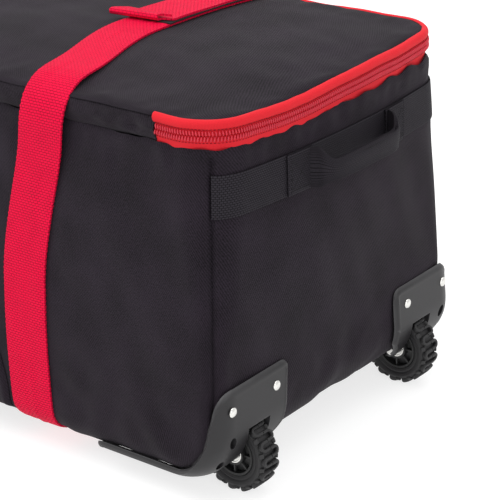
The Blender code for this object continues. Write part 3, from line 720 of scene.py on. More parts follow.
@dataclass(frozen=True)
class BagForm:
    """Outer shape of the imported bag, and how its cloth swells and sags."""

    half_length: float
    half_width_low: float
    half_width_top: float
    bottom: float
    wall_top: float
    zip_split: float
    lid_edge: float
    lean_start: float = 0.062
    side_round: float = 0.025
    end_round: float = 0.055
    corner_low: float = 0.018
    corner_top: float = 0.040
    lid_crown: float = 0.010
    end_swell: float = 0.0125
    side_swell: float = 0.0050
    zip_start: float = 0.318
    zip_dip: float = 0.0045
    zip_dip_y: float = -0.085
    strap_x: float = 0.166
    strap_drift: float = 0.032
    band_z: float = 0.2915

    @classmethod
    def from_frame(cls) -> "BagForm":
        """Read the driving sizes off the frame."""
        wall_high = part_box("wheel_end_panel")[1]
        lid_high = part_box("lid_panel")[1]
        return cls(half_length=wall_high.x, half_width_low=0.186, half_width_top=lid_high.y,
                   bottom=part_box("bottom_panel")[0].z, wall_top=wall_high.z,
                   zip_split=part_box("zip_tape_lower")[1].z, lid_edge=lid_high.z - cls.lid_crown)

    def lean(self, z: float) -> float:
        """Return how far up the leaning part of the walls a height is."""
        return clamp((z - self.lean_start) / (self.wall_top - self.lean_start))

    def half_width(self, z: float) -> float:
        """Return the half width of the unswollen bag at a height."""
        return lerp(self.half_width_low, self.half_width_top, self.lean(z))

    def corner(self, z: float) -> float:
        """Return the radius of the upright corners at a height."""
        return lerp(self.corner_low, self.corner_top, self.lean(z))

    @staticmethod
    def inset(height: float, radius: float) -> float:
        """Return how far a rounded bottom edge is drawn in at a height."""
        if height >= radius:
            return 0.0
        return radius - math.sqrt(max(0.0, radius ** 2 - (radius - height) ** 2))

    def end_out(self, y: float, z: float) -> float:
        """Return how far an end panel swells outwards at a place."""
        across = clamp(1 - (y / (self.half_width(z) - 0.010)) ** 2)
        return self.end_swell * across * smooth(0.070, 0.230, z)

    def side_out(self, x: float, z: float) -> float:
        """Return how far a long side swells outwards at a place."""
        along = clamp(1 - (x / 0.362) ** 4)
        return self.side_swell * along * smooth(0.040, 0.150, z) * (1 - smooth(0.26, 0.334, z))

    def point(self, end: int, side: int, q: float, z: float, offset: float = 0.0) -> Vector:
        """Return a point of the skin.

        Args:
            end: 1 for the wheel end and -1 for the tow end.
            side: 1 for the far side and -1 for the near side.
            q: 0 to 1 from the side's middle to the corner, 1 to 2 round it, 2 to 3 to the
                end's middle.
            z: Height.
            offset: Distance out of the skin.

        Returns:
            The point.
        """
        height = z - self.bottom + offset
        half_x = self.half_length + offset - self.inset(height, self.end_round + offset)
        half_y = self.half_width(z) + offset - self.inset(height, self.side_round + offset)
        radius = self.corner(z) + offset
        if q <= 1:
            x, y = q * (half_x - radius), half_y
        elif q < 2:
            angle = (q - 1) * QUARTER
            x = half_x - radius + radius * math.sin(angle)
            y = half_y - radius + radius * math.cos(angle)
        else:
            x, y = half_x, (3 - q) * (half_y - radius)
        x += self.end_out(side * y, z) * (1 if q > 1 else 0)
        y += self.side_out(x, z) * (1 if q < 2 else 0)
        return Vector((end * x, side * y, z))

    def rise(self, share: float) -> float:
        """Return the height that lies share of the way up a wall's section."""
        arc = self.end_round * QUARTER
        total = arc + self.wall_top - self.bottom - self.end_round
        run = share * total
        if run < arc:
            return self.bottom + self.end_round * (1 - math.cos(run / self.end_round))
        return self.bottom + self.end_round + run - arc

    @property
    def wall_run(self) -> float:
        """Length of a wall's section from the bottom to the zip."""
        return self.end_round * QUARTER + self.wall_top - self.bottom - self.end_round

    def dip(self, x: float, y: float) -> float:
        """Return how far the zip line sags at a place on the rim."""
        soft = self.zip_dip * hump(y, self.zip_dip_y, 0.060) * smooth(0.30, 0.37, x)
        return soft + 0.0007 * ripple(x, y, 0.045, 3.0)

    def lid_half_width(self, x: float) -> float:
        """Return the half width of the lid at a length."""
        past = abs(x) - (self.half_length - self.corner_top)
        if past <= 0:
            return self.half_width_top
        return (self.half_width_top - self.corner_top
                + math.sqrt(max(0.0, self.corner_top ** 2 - past ** 2)))

    def lid_top(self, x: float, y: float) -> float:
        """Return the height of the lid's crowned top away from its rounded edge."""
        along = 1 - min(1.0, abs(x / self.half_length)) ** 4
        across = 1 - min(1.0, abs(y / self.half_width_top)) ** 2.5
        return self.lid_edge + self.lid_crown * along * across

    def drift(self, y: float, z: float) -> float:
        """Return how far a lashing strap leans outwards at a place on its run."""
        if z < self.lid_edge:
            foot = 0.004 * smooth(0.24, 0.10, z)
            return 0.0 if y > 0 else self.strap_drift * smooth(0.175, 0.365, z) - foot
        return self.strap_drift * smooth(-0.015, -0.170, y)

    def held_side(self, x: float, z: float, near: bool) -> float:
        """Return 1 where a strap or the pocket holds a long side flat, and 0 elsewhere."""
        middle = self.strap_x + (self.drift(-1.0, z) if near else 0.0)
        strap = smooth(0.040, 0.028, abs(abs(x) - middle))
        pocket = smooth(0.148, 0.132, abs(x)) * smooth(0.282, 0.266, z) if near else 0.0
        return max(strap, pocket)

    def held_end(self, z: float) -> float:
        """Return 1 where the webbing band holds an end flat, and 0 elsewhere."""
        return smooth(0.032, 0.021, abs(z - self.band_z))

    def held_lid(self, x: float, y: float) -> float:
        """Return 1 where a strap holds the lid flat, and 0 elsewhere."""
        middle = self.strap_x + self.drift(y, self.lid_edge)
        return smooth(0.042, 0.028, abs(abs(x) - middle))

    def rim_distance(self, x: float, y: float) -> float:
        """Return the distance from a place on the lid to its outline."""
        dx = abs(x) - (self.half_length - self.corner_top)
        dy = abs(y) - (self.half_width_top - self.corner_top)
        outside = math.hypot(max(dx, 0.0), max(dy, 0.0)) + min(max(dx, dy), 0.0)
        return max(0.0, self.corner_top - outside)


FORM = BagForm.from_frame()


# --- shell, lid and gusset --------------------------------------------------

@dataclass
class Shell:
    """Cloth tub of the bag: two long sides, two ends and the bottom."""

    cloth: float = 0.0016
    seam_depth: float = 0.0046
    seam_width: float = 0.0026
    end_share: float = 0.86
    side_share: float = 0.93
    rim_roll: float = 0.0008

    def folds(self, a: float, z: float, seed: float) -> float:
        """Return the cloth's folds at a place on a panel.

        Args:
            a: Place along the panel.
            z: Height.
            seed: Value of the panel.

        Returns:
            The height of the folds in metres.
        """
        broad = 0.0016 * ripple(a, 0.8 * z, 0.120, seed)
        slant = 0.0009 * ripple(a + 0.5 * z, 0.35 * z, 0.035, seed + 5)
        low = 0.0016 * hump(z, 0.055, 0.050) * ripple(a, z, 0.030, seed + 9)
        high = 0.0010 * hump(z, 0.325, 0.022) * ripple(a, 0.6 * z, 0.016, seed + 2)
        return broad + slant + low + high

    def panel_point(self, u: float, v: float, long_side: bool, sign: int) -> Vector:
        """Return a point of a wall panel.

        Args:
            u: 0 to 1 along the panel, from seam to seam.
            v: 0 to 1 up the panel.
            long_side: True for a long side, and False for an end.
            sign: -1 for near or tow, and 1 for far or wheel.

        Returns:
            The point.
        """
        t = 2 * u - 1
        way = 1 if t >= 0 else -1
        q = round_corner(t, self.side_share if long_side else self.end_share)
        z = FORM.rise(v)
        seam = (1.5 - q) * QUARTER * FORM.corner(z) if q > 1 else 1.0
        flat = FORM.point(way, sign, q, z) if long_side else FORM.point(sign, way, 3 - q, z)
        along = flat.x if long_side else flat.y
        held = FORM.held_side(along, z, sign < 0) if long_side else FORM.held_end(z)
        offset = self.folds(along, z, 1.0 + sign + 4 * long_side) * smooth(0.0, 0.020, seam)
        offset *= 1 - 0.85 * held
        rim_fade = 1 - smooth(0.324, 0.332, z)
        offset -= self.seam_depth * rim_fade * hump(seam, 0, self.seam_width)
        offset += 0.0008 * hump(seam, 0.009, 0.005)
        below = FORM.wall_top - z
        offset += self.rim_roll * hump(below, 0.005, 0.004) - 0.0010 * hump(below, 0, 0.0016)
        offset = min(offset, 0.004)
        dip = FORM.dip(flat.x, flat.y) * smooth(0.29, FORM.wall_top, z)
        offset = lerp(offset, min(offset, 0.0006), held)
        scallop = 0.0019 * ripple(flat.x, flat.y, 0.019, 7.0) * smooth(0.318, FORM.wall_top, z)
        guarded = smooth(0.125, 0.105, z) * smooth(0.31, 0.35, flat.x)
        offset = lerp(offset, min(offset, -0.0004), guarded)
        if long_side:
            point = FORM.point(way, sign, q, z, offset)
        else:
            point = FORM.point(sign, way, 3 - q, z, offset)
        point.z += scallop - dip
        return point

    def panel(self, name: str, long_side: bool, sign: int, node: str) -> None:
        """Build one wall panel.

        Args:
            name: Name of the piece.
            long_side: True for a long side, and False for an end.
            sign: -1 for near or tow, and 1 for far or wheel.
            node: CAD node that it stands for.
        """
        columns = 210 if long_side else 110
        width = 0.78 if long_side else 0.37
        bm = laid(columns, 84, lambda u, v: self.panel_point(u, v, long_side, sign), (width, FORM.wall_run))
        piece = Piece(name, bm, Finish.CLOTH, "black_fabric", nodes=(node,), thick=self.cloth,
                      inside=Finish.LINING, angle=60)
        item = piece.build()
        if not long_side and sign > 0:
            carve(item, [self.well(side) for side in Side])

    def well(self, side: Side) -> Mesh:
        """Return the opening that a wheel housing needs in the cloth."""
        low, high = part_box(f"wheel_housing_{side.label}")
        size = Vector((high.x - low.x + 0.06, high.y - low.y + 0.004, high.z + 0.0012))
        centre = Vector((low.x + size.x / 2 - 0.001, (low.y + high.y) / 2, size.z / 2))
        return block(size, 0.0005, Matrix.Translation(centre), 1)

    def bottom(self) -> None:
        """Build the bottom panel, which sags a little between the wheels and the feet."""
        half_x = FORM.half_length - FORM.end_round + 0.004
        half_y = FORM.half_width_low - FORM.side_round + 0.003

        def place(u: float, v: float) -> Vector:
            x, y = half_x * (2 * u - 1), half_y * (2 * v - 1)
            fold = 0.0006 * ripple(x, y, 0.07, 21.0)
            return Vector((x, y, FORM.bottom + 0.0003 + abs(fold)))
        bm = laid(150, 70, place, (2 * half_x, 2 * half_y))
        item = Piece("bottom_cloth", bm, Finish.CLOTH, "black_fabric", nodes=("bottom_panel",),
                     thick=self.cloth, inside=Finish.LINING).build()
        carve(item, [self.well(side) for side in Side])

    def build(self) -> None:
        """Build every panel."""
        self.panel("near_side_cloth", True, -1, "near_side_panel")
        self.panel("far_side_cloth", True, 1, "far_side_panel")
        self.panel("wheel_end_cloth", False, 1, "wheel_end_panel")
        self.panel("tow_end_cloth", False, -1, "tow_end_panel")
        self.bottom()


@dataclass
class Lid:
    """Crowned lid with a turned-down edge, and the gusset that hinges it."""

    cloth: float = 0.0016
    edge_round: float = 0.013
    zip_inset: float = 0.0032
    hem_z: float = 0.3575
    gusset_low: float = 0.3335
    axis_start: tuple[float, float, float] = (0.0, -0.1725, 0.3400)
    axis_end: tuple[float, float, float] = (0.0, -0.1725, 0.3550)

    def height(self, x: float, y: float) -> float:
        """Return the height of the lid's cloth at a place."""
        distance = FORM.rim_distance(x, y)
        share = clamp(distance / self.edge_round)
        turn = math.sqrt(max(0.0, 1 - (1 - share) ** 2))
        fold = 0.0013 * ripple(x, y, 0.110, 31.0) + 0.0006 * ripple(x + 0.6 * y, y, 0.032, 33.0)
        pucker = 0.0012 * ripple(x, 0.5 * y, 0.013, 35.0) * math.exp(-distance / 0.022)
        seam = 0.0008 * hump(distance, 0, 0.0022)
        loose = 1 - 0.9 * FORM.held_lid(x, y)
        top = FORM.lid_top(x, y) + (fold + pucker) * smooth(0.0, 0.010, distance) * loose
        return lerp(self.hem_z, top, turn) - seam - FORM.dip(x, y) * math.exp(-distance / 0.05)

    def place(self, u: float, v: float) -> Vector:
        """Return the lid's point for u along and v across."""
        t = 2 * u - 1
        straight = FORM.half_length - FORM.corner_top
        share = 0.86
        if abs(t) < share:
            x = straight * abs(t) / share
        else:
            x = straight + FORM.corner_top * math.sin(QUARTER * (abs(t) - share) / (1 - share))
        x *= 1 if t >= 0 else -1
        y = FORM.lid_half_width(x) * math.sin(QUARTER * (2 * v - 1))
        z = self.height(x, y)
        distance = FORM.rim_distance(x, y)
        zipped = smooth(FORM.zip_start - 0.006, FORM.zip_start + 0.004, abs(x)) if y < -0.12 else 1.0
        tuck = self.zip_inset * zipped * math.exp(-distance / 0.006)
        bulge = FORM.end_out(y, FORM.lid_edge) * smooth(0.20, 1.0, abs(x) / FORM.half_length)
        near_end = clamp((abs(x) - straight) / FORM.corner_top)
        out_x = (bulge - tuck * near_end) * (1 if x >= 0 else -1)
        out_y = -tuck * (1 - near_end ** 2) * (1 if y >= 0 else -1)
        return Vector((x + out_x, y + out_y, z))

    def build(self) -> None:
        """Build the lid's cloth and the gusset."""
        size = (2 * FORM.half_length, 2 * FORM.half_width_top)
        bm = laid(220, 120, self.place, size)
        Piece("lid_cloth", bm, Finish.CLOTH, "black_fabric", "lid", ("lid_panel",),
              thick=self.cloth, inside=Finish.LINING, angle=60).build()
        self.gusset()

    def gusset(self) -> None:
        """Build the soft strip between the near side and the lid, with its puckers."""
        reach = FORM.zip_start + 0.0015

        def place(u: float, v: float) -> Vector:
            x = lerp(-reach, reach, u)
            z = lerp(self.gusset_low, self.hem_z + 0.0006, v)
            seams = hump(v, 0, 0.10) + hump(1, v, 0.10)
            belly = 0.0016 * math.sin(math.pi * v)
            gather = smooth(0.20, 0.31, abs(x))
            fold = (0.0006 + 0.0016 * gather) * ripple(x, 2.2 * z, 0.016, 41.0)
            fold += 0.0009 * ripple(x, z, 0.050, 43.0)
            out = belly + fold * math.sin(math.pi * v) - 0.0036 * seams
            wander = 0.0016 * ripple(x, 0.0, 0.035, 45.0) * (1 - v)
            return Vector((x, -FORM.half_width(z) - out, z + wander))
        bm = laid(230, 16, place, (2 * reach, 0.026))
        piece = Piece("gusset_cloth", bm, Finish.GUSSET, "black_fabric",
                      nodes=("hinge_gusset_lower", "hinge_gusset_upper"), thick=0.0012, angle=60)
        piece.bend(("root", "lid"), Vector(self.axis_start), Vector(self.axis_end))


# --- zip --------------------------------------------------------------------

@dataclass
class Zip:
    """Red zip: two tapes, two halves of the coil, threads and sliders."""

    pitch: float = 0.0026
    tooth: tuple[float, float, float] = (0.0017, 0.0052, 0.0024)
    tooth_lean: float = 9.0
    coil_half: float = 0.0048
    coil_gap: float = 0.0001
    coil_out: float = 0.0012
    piping: float = 0.0046
    piping_z: float = 0.0092
    thread_pitch: float = 0.0030
    steps: int = 620

    def route(self) -> list[tuple[int, int, float, float]]:
        """Return the stretches of the zip's run as (end, side, first q, last q)."""
        start = FORM.zip_start / (FORM.half_length - FORM.corner(FORM.wall_top))
        return [(1, -1, start, 3.0), (1, 1, 3.0, 0.0), (-1, 1, 0.0, 3.0), (-1, -1, 3.0, start)]

    @property
    def spans(self) -> tuple[float, float, float]:
        """Lengths of the run's three kinds of span: half a side, a corner and half an end."""
        radius = FORM.corner(FORM.wall_top)
        return FORM.half_length - radius, QUARTER * radius, FORM.half_width_top - radius

    def run_length(self, first: float, last: float) -> float:
        """Return the length of a stretch between two values of q."""
        low, high = sorted((first, last))
        return sum(size * (clamp(high - i) - clamp(low - i)) for i, size in enumerate(self.spans))

    def length(self) -> float:
        """Return the whole length of the zip."""
        return sum(self.run_length(a, b) for _, _, a, b in self.route())

    def at(self, run: float, z: float, offset: float) -> Vector:
        """Return the point a distance along the zip.

        Args:
            run: Distance from the zip's first end.
            z: Height before the rim's sag.
            offset: Distance out of the skin.

        Returns:
            The point.
        """
        sizes = self.spans
        for end, side, first, last in self.route():
            length = self.run_length(first, last)
            if run > length + 1e-9 and (end, side) != (-1, -1):
                run -= length
                continue
            way = 1 if last > first else -1
            q = first
            left = min(run, length)
            while left > 1e-12:
                span = min(2, int(q)) if way > 0 else max(0, math.ceil(q) - 1)
                edge = span + 1 if way > 0 else span
                room = abs(edge - q) * sizes[span]
                if left <= room:
                    q += way * left / sizes[span]
                    break
                left -= room
                q = float(edge)
            point = FORM.point(end, side, q, z, offset)
            point.z -= FORM.dip(point.x, point.y)
            return point
        raise ValueError("past the end of the zip")

    def tape(self, name: str, profile: Callable[[float], tuple[float, float]], rows: int, width: float,
             body: str, node: str) -> None:
        """Build one tape.

        Args:
            name: Name of the piece.
            profile: Gives (offset, height) for v from 0 to 1.
            rows: Faces across the tape.
            width: Its width across.
            body: Body that it rides on.
            node: CAD node that it stands for.
        """
        length = self.length()

        def place(u: float, v: float) -> Vector:
            offset, z = profile(v)
            ends = math.exp(-u * length / 0.004) - math.exp(-(1 - u) * length / 0.004)
            slant = 0.004 * (0.6 - v) * ends
            ruck = 0.0003 * ripple(u * length, v * 0.01, 0.012, 51.0)
            return self.at(clamp(u) * length, z, offset + ruck) + Vector((slant * 0.6, 0, 0))
        bm = laid(self.steps, rows, place, (length, width))
        Piece(name, bm, Finish.RED_TAPE, "red_zip_tape", body, (node,), thick=0.0009, angle=60).build()

    def lower_profile(self, v: float) -> tuple[float, float]:
        """Return the lower tape's (offset, height), from under the panel's rim to the coil."""
        z = lerp(FORM.wall_top - 0.0045, FORM.zip_split - 0.0002, v)
        return -0.0026 + 0.0024 * smooth(0.15, 0.75, v), z

    def upper_profile(self, v: float) -> tuple[float, float]:
        """Return the upper tape's (offset, height), up from the coil and over as a piped roll."""
        split = FORM.zip_split
        if v < 0.30:
            return 0.0, lerp(split + 0.0002, split + 0.0044, v / 0.30)
        angle = math.radians(lerp(-78, 125, (v - 0.30) / 0.70))
        return (-0.0024 + 0.0042 * math.cos(angle), split + self.piping_z + self.piping * math.sin(angle))

    def row(self, runs: list[float], z: float, offset: float) -> list[Matrix]:
        """Return frames along the zip, X along it and Z out of the skin.

        Args:
            runs: Distances from the zip's first end.
            z: Height of the row.
            offset: Its distance out of the skin.

        Returns:
            One frame for each distance.
        """
        length = self.length()
        places = []
        for run in runs:
            here = self.at(run, z, offset)
            ahead = self.at(min(length, run + 0.001), z, offset)
            out = Vector((ahead.y - here.y, here.x - ahead.x, 0.0))
            out = -out if out.dot(here - MIDDLE) < 0 else out
            places.append(facing(here, ahead - here, out))
        return places

    def coil(self, name: str, way: int, body: str, node: str) -> None:
        """Build one half of the coil as a row of rounded turns.

        Args:
            name: Name of the piece.
            way: -1 for the lower half and 1 for the upper half.
            body: Body that it rides on.
            node: CAD node that it stands for.
        """
        middle = FORM.zip_split + way * (self.coil_gap + self.coil_half / 2)
        count = int((self.length() - 0.004) / self.pitch)
        tilt = Matrix.Rotation(math.radians(self.tooth_lean * way), 4, 'Z')
        runs = [0.002 + (i + 0.25 * (1 + way)) * self.pitch for i in range(count)]
        bm = beads([place @ tilt for place in self.row(runs, middle, self.coil_out)], Vector(self.tooth), 8)
        Piece(name, bm, Finish.RED_COIL, "red_zip_coil", body, (node,), angle=80).build()

    def thread(self, name: str, z: float, offset: float, body: str) -> None:
        """Build one row of stitches along the zip.

        Args:
            name: Name of the piece.
            z: Height of the row.
            offset: Its distance out of the skin.
            body: Body that it rides on.
        """
        count = int((self.length() - 0.004) / self.thread_pitch)
        runs = [0.003 + i * self.thread_pitch for i in range(count)]
        bm = beads(self.row(runs, z, offset), Vector((0.0026, 0.0007, 0.0005)), 5)
        Piece(name, bm, Finish.DARK_THREAD, "red_zip_tape", body, angle=80).build()

    def slider(self, number: int) -> None:
        """Build one slider and its pull.

        Args:
            number: 1 or 2.
        """
        low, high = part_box(f"zip_slider_{number}")
        middle = (low + high) / 2
        size = high - low
        bm = bmesh.new()
        plate = Vector((size.x, size.y * 0.32, size.z))
        for face in (-1, 1):
            at = middle + Vector((0, face * size.y * 0.33, 0))
            bm = block(plate, 0.0007, Matrix.Translation(at), 3, bm)
        neck = Vector((size.x * 0.35, size.y * 0.5, size.z * 0.28))
        bm = block(neck, 0.0006, Matrix.Translation(middle), 2, bm)
        post = Vector((size.x * 0.22, 0.0022, 0.0020))
        for lift in (-1, 1):
            at = Vector((middle.x, high.y + 0.0004, middle.z + 0.004 + lift * 0.0032))
            bm = block(post, 0.0004, Matrix.Translation(at), 2, bm)
        bm.loops.layers.uv.new("cloth")
        Piece(f"slider_body_{number}", bm, Finish.ZIP_METAL, "black_zip_metal", f"slider_{number}",
              (f"zip_slider_{number}",)).build()
        self.pull(number)

    def pull(self, number: int) -> None:
        """Build a slider's pull: a tapered tab with an eye at each end.

        Args:
            number: 1 or 2.
        """
        low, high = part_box(f"zip_pull_{number}")
        middle = (low + high) / 2
        thick = high.y - low.y
        half_w, length = (high.x - low.x) / 2, high.z - low.z

        def rim(u: float, inner: float) -> Vector:
            angle = 2 * math.pi * u
            narrow = lerp(0.62, 1.0, 0.5 - 0.5 * math.cos(angle))
            x = signed_power(math.sin(angle), 0.6) * half_w * narrow
            z = signed_power(math.cos(angle), 0.6) * length / 2
            return Vector((x * inner, 0.0, z * (1 - (1 - inner) * 0.35)))

        def place(u: float, v: float) -> Vector:
            turn = 2 * math.pi * v
            inner = 0.72 + 0.28 * (0.5 + 0.5 * math.cos(turn))
            return middle + rim(u, inner) + Vector((0, thick * 0.48 * math.sin(turn), 0))
        bm = laid(48, 10, place, (0.08, 0.01), middle)
        bmesh.ops.remove_doubles(bm, verts=bm.verts, dist=WELD)
        web = Vector((half_w * 1.3, thick * 0.45, length * 0.52))
        bm = block(web, 0.0003, Matrix.Translation(middle - Vector((0, 0, length * 0.06))), 2, bm)
        bmesh.ops.recalc_face_normals(bm, faces=bm.faces)
        Piece(f"pull_tab_{number}", bm, Finish.ZIP_METAL, "black_zip_metal", f"pull_{number}",
              (f"zip_pull_{number}",)).build()

    def build(self) -> None:
        """Build the whole zip."""
        split = FORM.zip_split
        self.tape("lower_tape", self.lower_profile, 8, 0.016, "root", "zip_tape_lower")
        self.tape("upper_tape", self.upper_profile, 18, 0.022, "lid", "zip_tape_upper")
        self.coil("lower_coil", -1, "root", "zip_coil_lower")
        self.coil("upper_coil", 1, "lid", "zip_coil_upper")
        self.thread("lower_tape_stitches", split - 0.0062, 0.0002, "root")
        self.thread("upper_tape_stitches", split + 0.0058, 0.0010, "lid")
        for number in (1, 2):
            self.slider(number)


# --- webbing ----------------------------------------------------------------

@dataclass
class LashingStrap:
    """Red lashing strap round the body and over the lid, with its free upper layer."""

    letter: str
    side: int
    width: float = 0.0508
    thick: float = 0.0019
    lift: float = 0.0031
    loose_from: float = 0.284
    loose_lift: float = 0.0110
    bend_radius: float = 0.036
    bend_z: float = 0.3345
    settle_y: float = -0.085
    end_y: float = 0.165
    hinge_y: float = 0.150
    free_y: float = -0.004
    layer: float = 0.0027
    fold_back: float = 0.010
    fold_rise: float = 0.0024
    shift: float = 0.0135
    corner_lift: float = 0.0004
    tape_tooth: float = 0.0030
    stitch: tuple[float, float, float] = (0.0024, 0.0007, 0.0007)
    bend_start: tuple[float, float, float] = (0.0, -0.1725, 0.3385)
    bend_stop: tuple[float, float, float] = (0.0, -0.1725, 0.3560)

    @property
    def x(self) -> float:
        """Middle of the strap along the bag, from the frame."""
        low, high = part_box(f"strap_{self.letter}_flap")
        return (low.x + high.x) / 2

    def lid_z(self, x: float, y: float) -> float:
        """Return the height of the lid's smooth cloth at a place."""
        distance = FORM.rim_distance(x, y)
        turn = math.sqrt(max(0.0, 1 - (1 - clamp(distance / Lid.edge_round)) ** 2))
        return lerp(Lid.hem_z, FORM.lid_top(x, y), turn)

    def wall(self, z: float, lift: float) -> float:
        """Return how far out from the middle the strap lies at a height of a side."""
        low = FORM.inset(z - FORM.bottom + lift, FORM.side_round + lift)
        return FORM.half_width(z) + FORM.side_out(self.x, z) + lift - low

    def path(self) -> Profile:
        """Return the strap's (y, z) run, from the far side under the bag and over the lid."""
        far = [(self.wall(z, self.lift), z) for z in (0.333, 0.30, 0.26, 0.22, 0.18, 0.14, 0.10, 0.065)]
        radius = FORM.side_round + self.lift
        centre_y = FORM.half_width_low - FORM.side_round
        arc = [math.radians(a) for a in range(0, 91, 10)]
        under = [(centre_y + radius * math.cos(a), FORM.bottom + FORM.side_round - radius * math.sin(a))
                 for a in arc]
        near = [(-y, z) for y, z in reversed(far + under)]
        near = [(y, z) for y, z in near if z <= self.loose_from]
        for i in range(1, 6):
            z = lerp(self.loose_from, self.bend_z, i / 5)
            lift = lerp(self.lift, self.loose_lift, smooth(0, 1, i / 5))
            near.append((-FORM.half_width(z) - FORM.side_out(self.x, z) - lift, z))
        start = near[-1][0] + self.bend_radius
        for a in range(15, 91, 15):
            turn = math.radians(a)
            near.append((start - self.bend_radius * math.cos(turn),
                         self.bend_z + self.bend_radius * math.sin(turn)))
        top = near[-1][1]
        count = 22
        for i in range(1, count + 1):
            y = lerp(start, self.end_y, i / count)
            flat = self.lid_z(self.x, y) + self.lift
            near.append((y, lerp(top, flat, smooth(start, self.settle_y, y))))
        return far + under + near

    @staticmethod
    def runs(path: Profile) -> list[float]:
        """Return the distance along a path at each of its points."""
        run = [0.0]
        for a, b in zip(path, path[1:]):
            run.append(run[-1] + math.dist(a, b))
        return run

    @staticmethod
    def along(path: Profile, run: list[float], share: float) -> tuple[float, float]:
        """Return the (y, z) point that lies share of the way along a path."""
        want = clamp(share) * run[-1]
        for i in range(1, len(run)):
            if run[i] >= want - 1e-12:
                t = (want - run[i - 1]) / (run[i] - run[i - 1])
                return lerp(path[i - 1][0], path[i][0], t), lerp(path[i - 1][1], path[i][1], t)
        return path[-1]

    @staticmethod
    def rounded(path: Profile) -> Profile:
        """Return a path with its corners eased by averaging."""
        for _ in range(2):
            inner = [((a[0] + 2 * b[0] + c[0]) / 4, (a[1] + 2 * b[1] + c[1]) / 4)
                     for a, b, c in zip(path, path[1:], path[2:])]
            path = [path[0]] + inner + [path[-1]]
        return path

    def strap(self) -> None:
        """Build the strap's main length, which bends at the lid's hinge."""
        path = self.rounded(self.path())
        run = self.runs(path)
        x = self.x

        def place(u: float, v: float) -> Vector:
            y, z = self.along(path, run, v)
            edge = abs(2 * u - 1)
            curl = 0.0007 * smooth(0.80, 1.0, edge)
            wave = 0.0005 * ripple(v * run[-1], u, 0.05, 61.0)
            scallop = 0.00035 * math.sin(2 * math.pi * v * run[-1] / 0.0034) * smooth(0.96, 1.0, edge)
            reach = self.width / 2 + scallop
            out = Vector((0, y, z - 0.19)).normalized()
            middle = x + self.side * FORM.drift(y, z)
            return Vector((middle + reach * (2 * u - 1), y, z)) - out * (curl - wave * (1 - edge))
        bm = laid(14, 640, place, (self.width, run[-1]))
        piece = Piece(f"strap_{self.letter}_webbing", bm, Finish.RED_WEBBING, "red_webbing",
                      nodes=(f"strap_{self.letter}_body", f"strap_{self.letter}_lid"),
                      thick=self.thick, angle=70)
        piece.bend(("root", "lid"), Vector(self.bend_start), Vector(self.bend_stop))

    def flap(self) -> None:
        """Build the free upper layer, whose hemmed end stands off and to one side."""
        x = self.x
        length = self.hinge_y - self.free_y + 0.012
        turn_share = 0.88

        def place(u: float, v: float) -> Vector:
            if v < turn_share:
                y, rise = lerp(self.hinge_y + 0.003, self.free_y, v / turn_share), 0.0
            elif v < 0.93:
                angle = math.pi * (v - turn_share) / (0.93 - turn_share)
                y = self.free_y - self.fold_rise / 2 * math.sin(angle)
                rise = self.fold_rise / 2 * (1 - math.cos(angle))
            else:
                back = (v - 0.93) / 0.07
                y, rise = self.free_y + self.fold_back * back, self.fold_rise - 0.0006 * back
            loose = smooth(0.075, self.free_y + 0.004, y)
            left = (1 - u) if self.side > 0 else u
            lift = self.lift + self.layer + loose * (0.0010 + self.corner_lift * left) + rise
            lift += 0.0008 * math.sin(math.pi * clamp((self.hinge_y - y) / 0.08)) * (0.5 + left)
            spread = 1 + 0.06 * smooth(0.02, self.free_y, y)
            aside = smooth(self.free_y + 0.013, self.free_y + 0.002, y)
            px = x + (u - 0.5) * self.width * spread - self.side * self.shift * aside
            skew = -0.006 * (left - 0.5) * aside
            edge = 0.0003 * math.sin(2 * math.pi * v * length / 0.0034) * smooth(0.92, 1.0, abs(2 * u - 1))
            return Vector((px + edge, y + skew, self.lid_z(x, y) + lift))
        bm = laid(14, 150, place, (self.width, length), Vector((x, 0.06, 0.30)))
        Piece(f"strap_{self.letter}_upper_layer", bm, Finish.RED_WEBBING, "red_webbing",
              f"strap_flap_{self.letter}", (f"strap_{self.letter}_flap",), thick=self.thick,
              angle=70).build()

    def hook_tape(self) -> None:
        """Build the black hook tape between the layers, with its saw-tooth edges."""
        x = self.x
        start, stop = self.free_y + 0.004, self.hinge_y - 0.012

        def place(u: float, v: float) -> Vector:
            y = lerp(start, stop, v)
            saw = abs((y / self.tape_tooth) % 1.0 - 0.5) * 2
            reach = self.width / 2 + 0.0010 + 0.0014 * saw * smooth(0.9, 1.0, abs(2 * u - 1))
            return Vector((x + reach * (2 * u - 1), y, self.lid_z(x, y) + self.lift + 0.0009))
        bm = laid(12, 380, place, (self.width, stop - start))
        Piece(f"strap_{self.letter}_hook_tape", bm, Finish.HOOK_TAPE, "black_webbing", "lid",
              thick=0.0009, angle=70).build()

    def stitches(self) -> None:
        """Build the cross stitching on both sides, and the bar tacks at the free layer."""
        places = []
        for sign in (-1, 1):
            for row in range(2):
                z = self.loose_from - 0.002 - 0.0035 * row
                y = sign * (self.wall(z, self.lift) + 0.0001)
                middle = self.x + self.side * FORM.drift(y, z)
                for i in range(17):
                    at = Vector((middle + (i - 8) * 0.0029, y, z))
                    places.append(facing(at, Vector((1, 0, 0.12)), Vector((0, sign, 0))))
        bm = beads(places, Vector(self.stitch))
        Piece(f"strap_{self.letter}_side_stitches", bm, Finish.RED_THREAD, "red_webbing", angle=80).build()
        places = []
        for i in range(16):
            at = Vector((self.x + (i - 7.5) * 0.0030, self.hinge_y - 0.004,
                         self.lid_z(self.x, self.hinge_y) + self.lift + self.layer + 0.0002))
            places.append(facing(at, Vector((1, 0, 0)), Vector((0, 0, 1))))
        bm = beads(places, Vector(self.stitch))
        Piece(f"strap_{self.letter}_fold_stitches", bm, Finish.RED_THREAD, "red_webbing",
              f"strap_flap_{self.letter}", angle=80).build()

